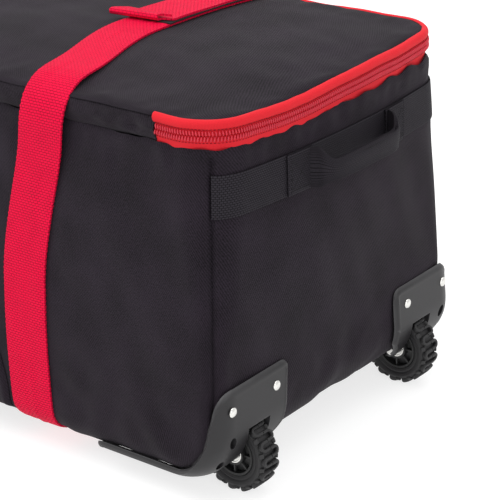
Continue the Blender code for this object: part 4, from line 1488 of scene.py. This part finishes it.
    def build(self) -> None:
        """Build the whole strap."""
        self.strap()
        self.flap()
        self.hook_tape()
        self.stitches()


@dataclass
class EndWebbing:
    """Black webbing band across an end, with its sewn patches and haul handle."""

    end: End
    half: float = 0.01905
    middle_z: float = 0.2915
    patch_in: float = 0.0555
    patch_out: float = 0.0890
    band_lift: float = 0.0024
    patch_lift: float = 0.0050
    grip_half: float = 0.0100
    route: tuple[tuple[float, float], ...] = (
        (0.0600, 0.0150), (0.0572, 0.0205), (0.0540, 0.0270), (0.0470, 0.0320),
        (0.0360, 0.0348), (0.0180, 0.0362), (0.0, 0.0366))

    @property
    def prefix(self) -> str:
        """Name of the end, as the nodes have it."""
        return f"{self.end.name.lower()}_end"

    def on_end(self, t: float, z: float, lift: float) -> Vector:
        """Return a point over the end's cloth, for t from seam (-1) to seam (1)."""
        q = round_corner(t, Shell.end_share)
        return FORM.point(self.end.value, 1 if t >= 0 else -1, 3 - q, z, lift)

    def at_y(self, y: float, z: float, lift: float) -> Vector:
        """Return a point over the end's cloth at a place across it."""
        return Vector((self.end.value * (FORM.half_length + FORM.end_out(y, z) + lift), y, z))

    def band(self) -> None:
        """Build the flat band from seam to seam."""
        def place(u: float, v: float) -> Vector:
            z = self.middle_z + self.half * (2 * v - 1)
            edge = smooth(0.90, 1.0, abs(2 * v - 1))
            seam = math.exp(-(min(u, 1 - u) / 0.008) ** 2)
            wave = 0.0004 * ripple(u * 0.3, v * 0.03, 0.05, 71.0)
            return self.on_end(2 * u - 1, z, self.band_lift - 0.0005 * edge - 0.0022 * seam + wave)
        bm = laid(150, 22, place, (0.34, 2 * self.half))
        Piece(f"{self.prefix}_webbing_band", bm, Finish.BLACK_WEBBING, "black_webbing",
              nodes=(f"{self.prefix}_band",), thick=0.0018, angle=70).build()

    def patch(self, side: Side) -> None:
        """Build a sewn patch with its box stitching."""
        sign = side.value
        size = self.patch_out - self.patch_in

        def place(u: float, v: float) -> Vector:
            y = sign * lerp(self.patch_in, self.patch_out, u)
            z = self.middle_z + (self.half - 0.0003) * (2 * v - 1)
            edge = max(smooth(0.90, 1.0, abs(2 * v - 1)), smooth(0.93, 1.0, abs(2 * u - 1)))
            inset = abs(abs(2 * u - 1) - 0.84) * size / 2
            sewn = 0.0006 * hump(inset, 0, 0.0009)
            return self.at_y(y, z, self.patch_lift - 0.0007 * edge - sewn)
        bm = laid(34, 34, place, (size, 2 * self.half))
        name = f"{self.prefix}_{side.label}"
        Piece(f"{name}_patch", bm, Finish.BLACK_WEBBING, "black_webbing",
              nodes=(f"{self.prefix}_handle_patch_{side.label}",), thick=0.0026,
              angle=60).build()
        corners = [(0.14, 0.12), (0.86, 0.12), (0.86, 0.88), (0.14, 0.88)]
        lines = list(zip(corners, corners[1:] + corners[:1]))
        lines += [(corners[0], corners[2]), (corners[1], corners[3])]
        places = []
        for (u0, v0), (u1, v1) in lines:
            span = math.hypot((u1 - u0) * size, (v1 - v0) * 2 * self.half)
            count = max(2, round(span / 0.0027))
            for i in range(count):
                here, ahead = [self.at_y(sign * lerp(self.patch_in, self.patch_out, lerp(u0, u1, k)),
                                         self.middle_z + self.half * (2 * lerp(v0, v1, k) - 1),
                                         self.patch_lift) for k in (i / count, (i + 1) / count)]
                places.append(facing(here, ahead - here, Vector((self.end.value, 0, 0))))
        bm = beads(places, Vector((0.0022, 0.0007, 0.0007)), 5)
        Piece(f"{name}_patch_stitches", bm, Finish.BLACK_THREAD, "black_webbing", angle=80).build()

    def loop(self) -> None:
        """Build the haul handle: flat at its roots and folded in half at the grip."""
        outs = [out for _, out in self.route]
        ys = [y for y, _ in self.route]
        length = 0.155

        def spine(u: float) -> tuple[float, float]:
            share = 1 - abs(2 * u - 1)
            y = curve_through(ys, share) * (1 if u < 0.5 else -1)
            return -y, curve_through(outs, share)

        def place(u: float, v: float) -> Vector:
            y, out = spine(u)
            y2, out2 = spine(min(1.0, u + 0.002))
            y1, out1 = spine(max(0.0, u - 0.002))
            along = Vector((out2 - out1, y2 - y1, 0)).normalized()
            normal = Vector((along.y, -along.x, 0))
            share = 1 - abs(2 * u - 1)
            folded = smooth(0.20, 0.52, share)
            half = lerp(self.half - 0.0006, self.grip_half, folded)
            thick = lerp(0.0013, 0.0034, folded)
            angle = 2 * math.pi * v
            c, s = math.cos(angle), math.sin(angle)
            across = thick * signed_power(c, 0.45)
            up = half * signed_power(s, 0.80)
            up -= folded * 0.0030 * hump(angle, QUARTER, 0.20)
            across += folded * 0.0006 * math.sin(3 * angle)
            sag = -0.0012 * folded + 0.0010 * ripple(u * 0.15, 0.0, 0.03, 81.0)
            pinch = 0.0003 * hump(share, 0.26, 0.05) * ripple(u * 0.2, up, 0.030, 83.0)
            base = FORM.half_length + out
            point = Vector((base, y, self.middle_z + up + sag)) + normal * (across + pinch)
            return Vector((self.end.value * point.x, point.y, point.z))
        bm = ringed(110, 32, place, (length, 0.080))
        piece = Piece(f"{self.prefix}_haul_handle", bm, Finish.BLACK_WEBBING, "black_webbing",
                      nodes=(f"{self.prefix}_handle_loop",), angle=60)
        reach = self.end.value * FORM.half_length
        start = Vector((reach + self.end.value * 0.0150, 0, self.middle_z))
        stop = Vector((reach + self.end.value * 0.0270, 0, self.middle_z))
        piece.bend(("root", f"{self.prefix}_handle"), start, stop)

    def grip_stitches(self) -> None:
        """Build the row of stitches that holds the grip folded."""
        places = []
        for i in range(28):
            y = lerp(-0.036, 0.036, i / 27)
            share = 1 - abs(y) / 0.0600
            out = curve_through([o for _, o in self.route], clamp(0.28 + 0.72 * share))
            at = Vector((self.end.value * (FORM.half_length + out + 0.0036), y, self.middle_z + 0.0064))
            places.append(facing(at, Vector((0, 1, 0)), Vector((self.end.value, 0, 0))))
        bm = beads(places, Vector((0.0021, 0.0007, 0.0006)), 5)
        Piece(f"{self.prefix}_grip_stitches", bm, Finish.BLACK_THREAD, "black_webbing",
              f"{self.prefix}_handle", angle=80).build()

    def build(self) -> None:
        """Build the band, the patches and the handle."""
        self.band()
        for side in Side:
            self.patch(side)
        self.loop()
        self.grip_stitches()


# --- corner guards ----------------------------------------------------------

@dataclass
class CornerGuard:
    """Moulded guard at a wheel corner: end plate, wrapped corner and skid rail."""

    side: Side
    lift: float = 0.0004
    thick: float = 0.0060
    wall: float = 0.0056
    border: float = 0.0042
    border_drop: float = 0.0026
    tail_x: float = 0.236
    inner_y: float = 0.088
    top: float = 0.117
    nose: float = 0.0100
    notch_half: float = 0.0155
    notch_top: float = 0.0720
    low_edge: tuple[float, ...] = (0.003, 0.003, 0.003, 0.004, 0.007, 0.014, 0.024, 0.036)
    corner_tops: tuple[float, ...] = (0.0350, 0.0372, 0.0450, 0.0720, 0.1010, 0.1125, 0.1165, 0.1170)

    def stretches(self) -> tuple[float, float, float]:
        """Return the lengths of the rail, the corner and the end plate."""
        rail = FORM.half_length - FORM.corner_low - self.tail_x
        plate = FORM.half_width_low - FORM.corner_low - self.inner_y
        return rail, QUARTER * FORM.corner_low, plate

    def where(self, u: float) -> tuple[float, float]:
        """Return the place along the bag's plan: q, and the distance along the guard."""
        rail, corner, plate = self.stretches()
        run = u * (rail + corner + plate)
        if run < rail:
            return (self.tail_x + run) / (FORM.half_length - FORM.corner_low), run
        if run < rail + corner:
            return 1 + (run - rail) / corner, run
        y = FORM.half_width_low - FORM.corner_low - (run - rail - corner)
        return 3 - y / (FORM.half_width_low - FORM.corner_low), run

    def edges(self, run: float) -> tuple[float, float, float]:
        """Return the low height, the high height and the bottom edge's radius at a run."""
        rail, corner, plate = self.stretches()
        start, stop = rail - 0.006, rail + corner
        turn = clamp((run - start) / (stop - start))
        radius = lerp(FORM.side_round, FORM.end_round, smooth(0, 1, (run - rail) / corner))
        high = curve_through(list(self.corner_tops), turn)
        past = clamp((run - stop) / plate)
        low = FORM.bottom + lerp(0.0008, curve_through(list(self.low_edge), past), smooth(0, 1, turn))
        left = plate * (1 - past)
        if left < self.nose:
            high -= self.nose - math.sqrt(self.nose ** 2 - (self.nose - left) ** 2)
        if run < 0.012:
            high -= 0.006 * (1 - math.sqrt(1 - (1 - run / 0.012) ** 2))
        return low, high, radius

    def turn_of(self, z: float, radius: float) -> float:
        """Return how far round the bottom edge and up the wall a height is."""
        height = z - FORM.bottom
        if height > radius:
            return 1 + (height - radius) / (radius * QUARTER)
        return math.acos(1 - height / radius) / QUARTER

    def place(self, u: float, v: float) -> Vector:
        """Return the guard's outer point at u along it and v up it."""
        q, run = self.where(u)
        low, high, radius = self.edges(run)
        first, last = self.turn_of(low, radius), self.turn_of(high, radius)
        turn = lerp(first, last, v)
        tall = (last - first) * radius * QUARTER
        total = sum(self.stretches())
        inward = min(v * tall, (1 - v) * tall, run, total - run)
        bevel = clamp(1 - inward / self.border)
        offset = self.lift + self.thick - self.border_drop * bevel ** 1.5
        offset -= 0.0009 * clamp(1 - inward / 0.0010) ** 2
        offset += 0.0004 * hump(inward, self.border + 0.0006, 0.0010)
        if turn > 1:
            z = FORM.bottom + radius + (turn - 1) * radius * QUARTER
        else:
            z = FORM.bottom - offset + (radius + offset) * (1 - math.cos(turn * QUARTER))
        height = z - FORM.bottom + offset
        half_x = FORM.half_length + offset - FORM.inset(height, FORM.end_round + offset)
        half_y = FORM.half_width(z) + offset - FORM.inset(height, FORM.side_round + offset)
        corner = FORM.corner(z) + offset
        if q <= 1:
            rail = self.stretches()[0]
            x, y = lerp(self.tail_x, half_x - corner, clamp(run / rail)), half_y
        elif q < 2:
            angle = (q - 1) * QUARTER
            x = half_x - corner + corner * math.sin(angle)
            y = half_y - corner + corner * math.cos(angle)
        else:
            x, y = half_x, (3 - q) * (FORM.half_width_low - FORM.corner_low)
            y *= (half_y - corner) / (FORM.half_width_low - FORM.corner_low)
        return Vector((x, self.side.value * y, z))

    def open_notch(self, bm: Mesh) -> None:
        """Cut the opening for the wheel out of the guard's face, before it gets its walls."""
        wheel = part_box(f"wheel_tyre_{self.side.label}")
        middle_y = (wheel[0].y + wheel[1].y) / 2
        planes = (((0, middle_y - self.notch_half, 0), (0, 1, 0)),
                  ((0, middle_y + self.notch_half, 0), (0, 1, 0)),
                  ((0, 0, self.notch_top), (0, 0, 1)))
        for at, normal in planes:
            bmesh.ops.bisect_plane(bm, geom=bm.verts[:] + bm.edges[:] + bm.faces[:], dist=WELD,
                                   plane_co=at, plane_no=normal)
        inside = []
        for face in bm.faces:
            centre = face.calc_center_median()
            if abs(centre.y - middle_y) < self.notch_half and centre.z < self.notch_top:
                inside.append(face)
        bmesh.ops.delete(bm, geom=inside, context='FACES')

    def oval(self, y: float, z: float, width: float, height: float, lean: float) -> Mesh:
        """Return an oval hole through the plate near its outer corner.

        Args:
            y: Distance of its middle from the bag's middle.
            z: Height of its middle.
            width: Its width.
            height: Its height.
            lean: How far its top leans over, in radians.

        Returns:
            The tool, through the plate only.
        """
        bm = bmesh.new()
        matrix = (Matrix.Translation(Vector((FORM.half_length + 0.004, self.side.value * y, z)))
                  @ Matrix.Rotation(self.side.value * -lean, 4, 'X') @ Matrix.Rotation(QUARTER, 4, 'Y')
                  @ Matrix.Diagonal((height / 2, width / 2, 1.0, 1.0)))
        bmesh.ops.create_cone(bm, cap_ends=True, segments=28, radius1=1.0, radius2=1.0, depth=0.030,
                              matrix=matrix)
        return bm

    def build(self) -> None:
        """Build the guard and its two rivets."""
        total = sum(self.stretches())
        bm = laid(150, 56, self.place, (total, 0.09))
        self.open_notch(bm)
        piece = Piece(f"{self.side.label}_guard_moulding", bm, Finish.GREY_PLASTIC, "grey_plastic",
                      nodes=(f"corner_guard_{self.side.label}",), thick=self.wall, angle=38)
        item = piece.build()
        carve(item, [self.oval(0.1665, 0.0660, 0.0085, 0.0125, 0.25),
                     self.oval(0.1730, 0.0440, 0.0080, 0.0110, 0.45)])
        item.data.shade_smooth()
        item.data.set_sharp_from_angle(angle=math.radians(38))
        for number in (1, 2):
            self.rivet(number)

    def rivet(self, number: int) -> None:
        """Build one domed rivet.

        Args:
            number: 1 for the outer rivet and 2 for the inner.
        """
        node = f"guard_rivet_{self.side.label}_{number}"
        low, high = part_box(node)
        base = high.x - 0.0021
        centre = Vector((base, (low.y + high.y) / 2, (low.z + high.z) / 2))
        radius = (high.z - low.z) / 2
        shank = 0.0021
        dome = [(0.0, 0.0021)] + [(radius * math.sin(a), 0.0001 + 0.0020 * math.cos(a) ** 1.3)
                                  for a in (math.radians(15 * k) for k in range(1, 6))]
        profile = dome + [(radius, 0.0), (shank, -0.0001), (shank, low.x - base), (0.0, low.x - base)]
        bm = turned(profile, centre, Vector((1, 0, 0)), 40)
        Piece(f"{self.side.label}_rivet_{number}", bm, Finish.STEEL, "bright_steel", nodes=(node,),
              angle=35).build()


# --- wheels -----------------------------------------------------------------

@dataclass
class Wheel:
    """One wheel: lugged tyre, ribbed hub and two ball bearings."""

    side: Side
    lugs: int = 15
    crown: float = 0.0340
    lug_radius: float = 0.0037
    bar: float = 0.00155
    tyre_bore: float = 0.0225
    hub_bore: float = 0.0045
    hub_seat: float = 0.0098

    @property
    def body(self) -> str:
        """Body that the wheel's parts ride on."""
        return f"wheel_{self.side.label}"

    def centre(self) -> Vector:
        """Return the wheel's centre, from the frame."""
        low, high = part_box(f"wheel_tyre_{self.side.label}")
        return (low + high) / 2

    def spun(self, turn: float) -> Matrix:
        """Return the frame on the wheel's rim at a turn: Z outwards and Y along the axle."""
        return Matrix.Translation(self.centre()) @ Matrix.Rotation(turn, 4, 'Y')

    def tyre(self) -> None:
        """Build the tyre: carcass, horseshoe lugs in two rows and shoulder blocks."""
        low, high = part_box(f"wheel_tyre_{self.side.label}")
        radius = (high.z - low.z) / 2
        half = (high.y - low.y) / 2
        right = [(self.tyre_bore, half * 0.78), (0.0245, half * 0.86), (0.0262, half * 0.84),
                 (0.0275, half * 0.93), (0.0300, half * 0.98), (0.0322, half * 0.92),
                 (0.0334, half * 0.72), (self.crown, 0.0)]
        profile = right + [(r, -y) for r, y in reversed(right[:-1])]
        bm = turned(profile, self.centre(), AXLE_WAY, 80)
        pitch = 2 * math.pi / self.lugs
        for row in (-1, 1):
            for i in range(self.lugs):
                self.lug(bm, (i + (0.25 if row > 0 else -0.25)) * pitch, row, radius)
        for row in (-1, 1):
            for i in range(self.lugs):
                turn = (i + (0.75 if row > 0 else 0.25)) * pitch
                at = self.spun(turn) @ Matrix.Translation((0, row * half * 0.80, self.crown - 0.0012))
                tilt = at @ Matrix.Rotation(-row * 0.60, 4, 'X')
                block(Vector((0.0046, 0.0046, 0.0042)), 0.0008, tilt, 2, bm)
        for face in bm.faces:
            face.smooth = True
        Piece(f"{self.side.label}_tyre", bm, Finish.RUBBER, "tyre_rubber", self.body,
              (f"wheel_tyre_{self.side.label}",), angle=32).build()

    def lug(self, bm: Mesh, turn: float, row: int, radius: float) -> None:
        """Add one horseshoe lug.

        Args:
            bm: Tyre's mesh.
            turn: Angle round the wheel.
            row: -1 or 1 for the side that its round end points to.
            radius: Outer radius of the wheel.
        """
        leg = 0.0056
        bend = math.pi * self.lug_radius
        total = 2 * leg + bend
        base = self.crown - 0.0012
        matrix = self.spun(turn)

        def place(u: float, v: float) -> Vector:
            run = u * total
            if run < leg:
                x, y, side_x, side_y = self.lug_radius, run, 1.0, 0.0
            elif run < leg + bend:
                angle = (run - leg) / self.lug_radius
                x, y = self.lug_radius * math.cos(angle), leg + self.lug_radius * math.sin(angle)
                side_x, side_y = math.cos(angle), math.sin(angle)
            else:
                x, y, side_x, side_y = -self.lug_radius, total - run, -1.0, 0.0
            angle = 2 * math.pi * v
            c, s = math.cos(angle), math.sin(angle)
            across = self.bar * signed_power(c, 0.5)
            drop = 0.0007 * ((y - 0.002) / 0.009) ** 2
            middle = (base + radius) / 2
            tall = middle + (radius - base) / 2 * signed_power(s, 0.5) - drop
            x, y = x + across * side_x, y + across * side_y + 0.0004
            return matrix @ Vector((tall * math.sin(x / tall), row * y, tall * math.cos(x / tall)))
        ringed(14, 12, place, (total, 0.008), bm)

    def hub(self) -> None:
        """Build the hub: rim, dished web with ribs, and a boss for the bearings."""
        low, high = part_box(f"wheel_hub_{self.side.label}")
        half = (high.y - low.y) / 2
        rim = (high.z - low.z) / 2
        seat, bore, web = self.hub_seat, self.hub_bore, half - 0.0063
        right = [(seat, web), (seat, half), (seat + 0.0016, half), (seat + 0.0022, half * 0.52),
                 (rim - 0.0034, half * 0.42), (rim - 0.0026, half * 0.94), (rim - 0.0006, half),
                 (rim, half * 0.9)]
        bm = turned(mirrored([(bore, web)] + right), self.centre(), AXLE_WAY, 60)
        for i in range(8):
            for sign in (-1, 1):
                spoke = self.spun(i * math.pi / 4) @ Matrix.Translation((0, sign * half * 0.55, 0.0155))
                block(Vector((0.0018, half * 0.5, 0.0088)), 0.0004, spoke, 2, bm)
        Piece(f"{self.side.label}_hub", bm, Finish.WELL_PLASTIC, "grey_plastic", self.body,
              (f"wheel_hub_{self.side.label}",), angle=32).build()

    def bearing(self, place: str) -> None:
        """Build one bearing, with its shield set in between the races.

        Args:
            place: inner or outer.
        """
        node = f"wheel_bearing_{self.side.label}_{place}"
        low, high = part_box(node)
        half = (high.y - low.y) / 2
        outer, bore = (high.z - low.z) / 2, 0.0033
        right = [(bore, half - 0.0003), (bore + 0.0003, half), (0.0050, half), (0.0053, half - 0.0006),
                 (0.0076, half - 0.0006), (0.0079, half), (outer - 0.0003, half), (outer, half - 0.0003)]
        bm = turned(mirrored(right), (low + high) / 2, AXLE_WAY, 48)
        Piece(f"{self.side.label}_{place}_bearing", bm, Finish.STEEL, "bright_steel", self.body,
              (node,), angle=30).build()

    def axle(self) -> None:
        """Build the riveted axle, with a domed head at each end."""
        node = f"wheel_axle_{self.side.label}"
        low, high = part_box(node)
        half = (high.y - low.y) / 2
        head = (high.z - low.z) / 2
        right = [(0.0, half), (head * 0.55, half - 0.0001), (head * 0.88, half - 0.0004),
                 (head, half - 0.0010), (0.0030, half - 0.0012)]
        bm = turned(mirrored(right), (low + high) / 2, AXLE_WAY, 40)
        Piece(f"{self.side.label}_axle", bm, Finish.STEEL, "bright_steel", nodes=(node,), angle=30).build()

    def build(self) -> None:
        """Build the whole wheel."""
        self.tyre()
        self.hub()
        self.bearing("inner")
        self.bearing("outer")
        self.axle()


@dataclass
class Foot:
    """Moulded foot under the tow end, with ribs."""

    side: Side
    ribs: int = 5

    def build(self) -> None:
        """Build the foot from its node's size."""
        node = f"tow_foot_{self.side.label}"
        low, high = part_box(node)
        size, middle = high - low, (low + high) / 2
        bm = bmesh.new()
        bmesh.ops.create_cube(bm, size=1.0, matrix=Matrix.Translation(middle) @ Matrix.Diagonal((*size, 1.0)))
        for vert in bm.verts:
            if vert.co.z < middle.z:
                vert.co.x = lerp(middle.x, vert.co.x, 0.84)
                vert.co.y = lerp(middle.y, vert.co.y, 0.80)
        upright = [e for e in bm.edges if abs(e.verts[0].co.z - e.verts[1].co.z) > size.z / 2]
        bmesh.ops.bevel(bm, geom=upright, offset=0.0085, segments=6, profile=0.5, affect='EDGES', material=-1)
        base = [e for e in bm.edges if all(v.co.z < low.z + 1e-5 for v in e.verts)]
        bmesh.ops.bevel(bm, geom=base, offset=0.0028, segments=4, profile=0.5, affect='EDGES', material=-1)
        for i in range(self.ribs):
            x = lerp(low.x + 0.016, high.x - 0.016, i / (self.ribs - 1))
            rib = Matrix.Translation(Vector((x, middle.y, middle.z + size.z * 0.08)))
            block(Vector((0.0022, size.y, size.z * 0.62)), 0.0006, rib, 2, bm)
        bm.loops.layers.uv.new("cloth")
        Piece(f"{self.side.label}_tow_foot", bm, Finish.GREY_PLASTIC, "grey_plastic",
              nodes=(node,), angle=32).build()


# --- side pocket ------------------------------------------------------------

@dataclass
class SidePocket:
    """Flat pocket on the near side, with slanting seams and a zip across its top."""

    low_z: float = 0.033
    lift: float = 0.0036

    def half(self, z: float) -> float:
        """Return the pocket's half width at a height."""
        low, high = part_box("side_pocket")
        top_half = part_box("pocket_zip_tape")[1].x
        return lerp(high.x, top_half, (z - low.z) / (high.z - low.z))

    def surface(self, x: float, z: float, lift: float) -> Vector:
        """Return a point over the near side's cloth."""
        reach = FORM.half_length - FORM.corner(z)
        return FORM.point(1 if x >= 0 else -1, -1, abs(x) / reach, z, lift)

    def build(self) -> None:
        """Build the pocket's cloth, its zip and its slider."""
        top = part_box("side_pocket")[1].z

        def place(u: float, v: float) -> Vector:
            z = lerp(self.low_z, top, v)
            x = self.half(z) * (2 * u - 1)
            seam = self.half(z) * (1 - abs(2 * u - 1))
            rim = top - z
            sewn = max(hump(seam, 0, 0.0022), hump(z, self.low_z, 0.003))
            rolled = 0.0008 * hump(seam, 0.0060, 0.0032) + 0.0006 * hump(rim, 0.003, 0.003)
            fold = 0.0008 * ripple(x, z, 0.060, 91.0) * smooth(0, 0.02, seam)
            return self.surface(x, z, self.lift + rolled + fold - 0.0028 * sewn)
        bm = laid(120, 90, place, (0.25, top - self.low_z))
        Piece("pocket_cloth", bm, Finish.CLOTH, "black_fabric", nodes=("side_pocket",), thick=0.0014,
              angle=60).build()
        self.zip()

    def zip(self) -> None:
        """Build the pocket's zip tape, its teeth and its slider."""
        low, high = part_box("pocket_zip_tape")
        middle_z = (low.z + high.z) / 2

        def place(u: float, v: float) -> Vector:
            z = lerp(low.z - 0.002, high.z, v)
            x = lerp(low.x, high.x, u)
            groove = 0.0010 * hump(v, 0.5, 0.16)
            edge = math.exp(-(min(v, 1 - v) / 0.07) ** 2) + math.exp(-(min(u, 1 - u) / 0.012) ** 2)
            return self.surface(x, z, 0.0030 - groove - 0.0016 * min(1.0, edge))
        bm = laid(120, 16, place, (high.x - low.x, high.z - low.z))
        Piece("pocket_tape", bm, Finish.GUSSET, "black_fabric", nodes=("pocket_zip_tape",), thick=0.0012,
              angle=60).build()
        places = []
        count = int((high.x - low.x - 0.010) / 0.0020)
        for i in range(count):
            x = low.x + 0.005 + i * 0.0020
            at = self.surface(x, middle_z, 0.0028)
            places.append(facing(at, Vector((1, 0, 0)), Vector((0, -1, 0.05))))
        bm = beads(places, Vector((0.0014, 0.0052, 0.0012)), 6)
        Piece("pocket_coil", bm, Finish.ZIP_METAL, "black_fabric", angle=80).build()
        low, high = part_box("pocket_zip_slider")
        middle, size = (low + high) / 2, high - low
        bm = block(size, 0.0010, Matrix.Translation(middle), 3)
        tab = Vector((0.0050, 0.0012, 0.0200))
        at = Vector((middle.x, low.y + 0.0002, middle.z - 0.0090))
        bm = block(tab, 0.0005, Matrix.Translation(at), 2, bm)
        bm.loops.layers.uv.new("cloth")
        Piece("pocket_slider_body", bm, Finish.ZIP_METAL, "black_zip_metal", "pocket_slider",
              ("pocket_zip_slider",)).build()


# --- carried nodes, studio and the run --------------------------------------

class Carried(Enum):
    """CAD nodes whose shape is kept, with the finish that each takes."""

    BASE_BOARD = ("base_board", Finish.BOARD)
    NEAR_HOUSING = ("wheel_housing_near", Finish.WELL_PLASTIC)
    FAR_HOUSING = ("wheel_housing_far", Finish.WELL_PLASTIC)

    def dress(self) -> None:
        """Give the node its finish."""
        name, finish = self.value
        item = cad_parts[name]
        if not item.data.materials:
            item.data.materials.append(None)
        for slot in item.material_slots:
            slot.material = SHELF.take(finish)
        log.info("%s: carried over with %s", name, finish.name)


@dataclass
class Studio:
    """Pale floor, soft lights and the camera."""

    azimuth: float = math.radians(38.61)
    elevation: float = math.radians(22.95)
    roll: float = math.radians(-1.98)
    camera_at: Vector = field(default_factory=lambda: Vector((1.3111, -1.2939, 0.8664)))
    lens: float = 137.04
    floor_size: float = 14.0
    sky: float = 0.98
    lamps: tuple[tuple[str, tuple[float, float, float], float, float], ...] = (
        ("key", (-1.2, -1.6, 3.2), 2.4, 62.0),
        ("top", (0.6, 0.4, 3.6), 2.6, 46.0),
        ("front", (3.0, -1.4, 1.4), 1.8, 12.0))

    def camera(self) -> None:
        """Place the camera and make it the scene's."""
        a, e, r = self.azimuth, self.elevation, self.roll
        back = Vector((math.sin(a) * math.cos(e), -math.cos(a) * math.cos(e), math.sin(e)))
        right = Vector((math.cos(a), math.sin(a), 0.0))
        up = back.cross(right)
        rolled_right = right * math.cos(r) + up * math.sin(r)
        rolled_up = up * math.cos(r) - right * math.sin(r)
        data = bpy.data.cameras.new("camera")
        data.lens = self.lens
        data.sensor_width = 36.0
        data.clip_end = 50.0
        item = linked("camera", data)
        turn = Matrix((rolled_right, rolled_up, back)).transposed().to_4x4()
        item.matrix_world = Matrix.Translation(self.camera_at) @ turn
        bpy.context.scene.camera = item

    def lamp(self, name: str, at: Vector, size: float, power: float) -> None:
        """Hang a square soft light that looks at the bag."""
        data = bpy.data.lights.new(name, 'AREA')
        data.size = size
        data.energy = power
        item = linked(name, data)
        turn = (at - MIDDLE).to_track_quat('Z', 'Y').to_matrix().to_4x4()
        item.matrix_world = Matrix.Translation(at) @ turn

    def build(self) -> None:
        """Build the floor, the lights and the camera."""
        bm = bmesh.new()
        bmesh.ops.create_grid(bm, x_segments=8, y_segments=8, size=self.floor_size / 2)
        mesh = bpy.data.meshes.new("floor")
        bm.to_mesh(mesh)
        bm.free()
        mesh.materials.append(SHELF.take(Finish.FLOOR))
        linked("floor", mesh)
        world = bpy.data.worlds.new("studio")
        world.use_nodes = True
        ground = world.node_tree.nodes["Background"]
        ground.inputs["Color"].default_value = (1.0, 1.0, 1.0, 1.0)
        ground.inputs["Strength"].default_value = self.sky
        bpy.context.scene.world = world
        for name, at, size, power in self.lamps:
            self.lamp(name, Vector(at), size, power)
        view = bpy.context.scene.view_settings
        view.view_transform = 'Standard'
        view.look = 'None'
        self.camera()


def main() -> None:
    """Build the bag's looks, one sub-assembly after another."""
    logging.basicConfig(level=logging.INFO, format="%(name)s: %(message)s")
    Studio().build()
    Shell().build()
    Lid().build()
    Zip().build()
    for letter, side in (("a", 1), ("b", -1)):
        LashingStrap(letter, side).build()
    for end in End:
        EndWebbing(end).build()
    for side in Side:
        CornerGuard(side).build()
        Wheel(side).build()
        Foot(side).build()
    SidePocket().build()
    for kept in Carried:
        kept.dress()


if __name__ == "__main__":
    main()
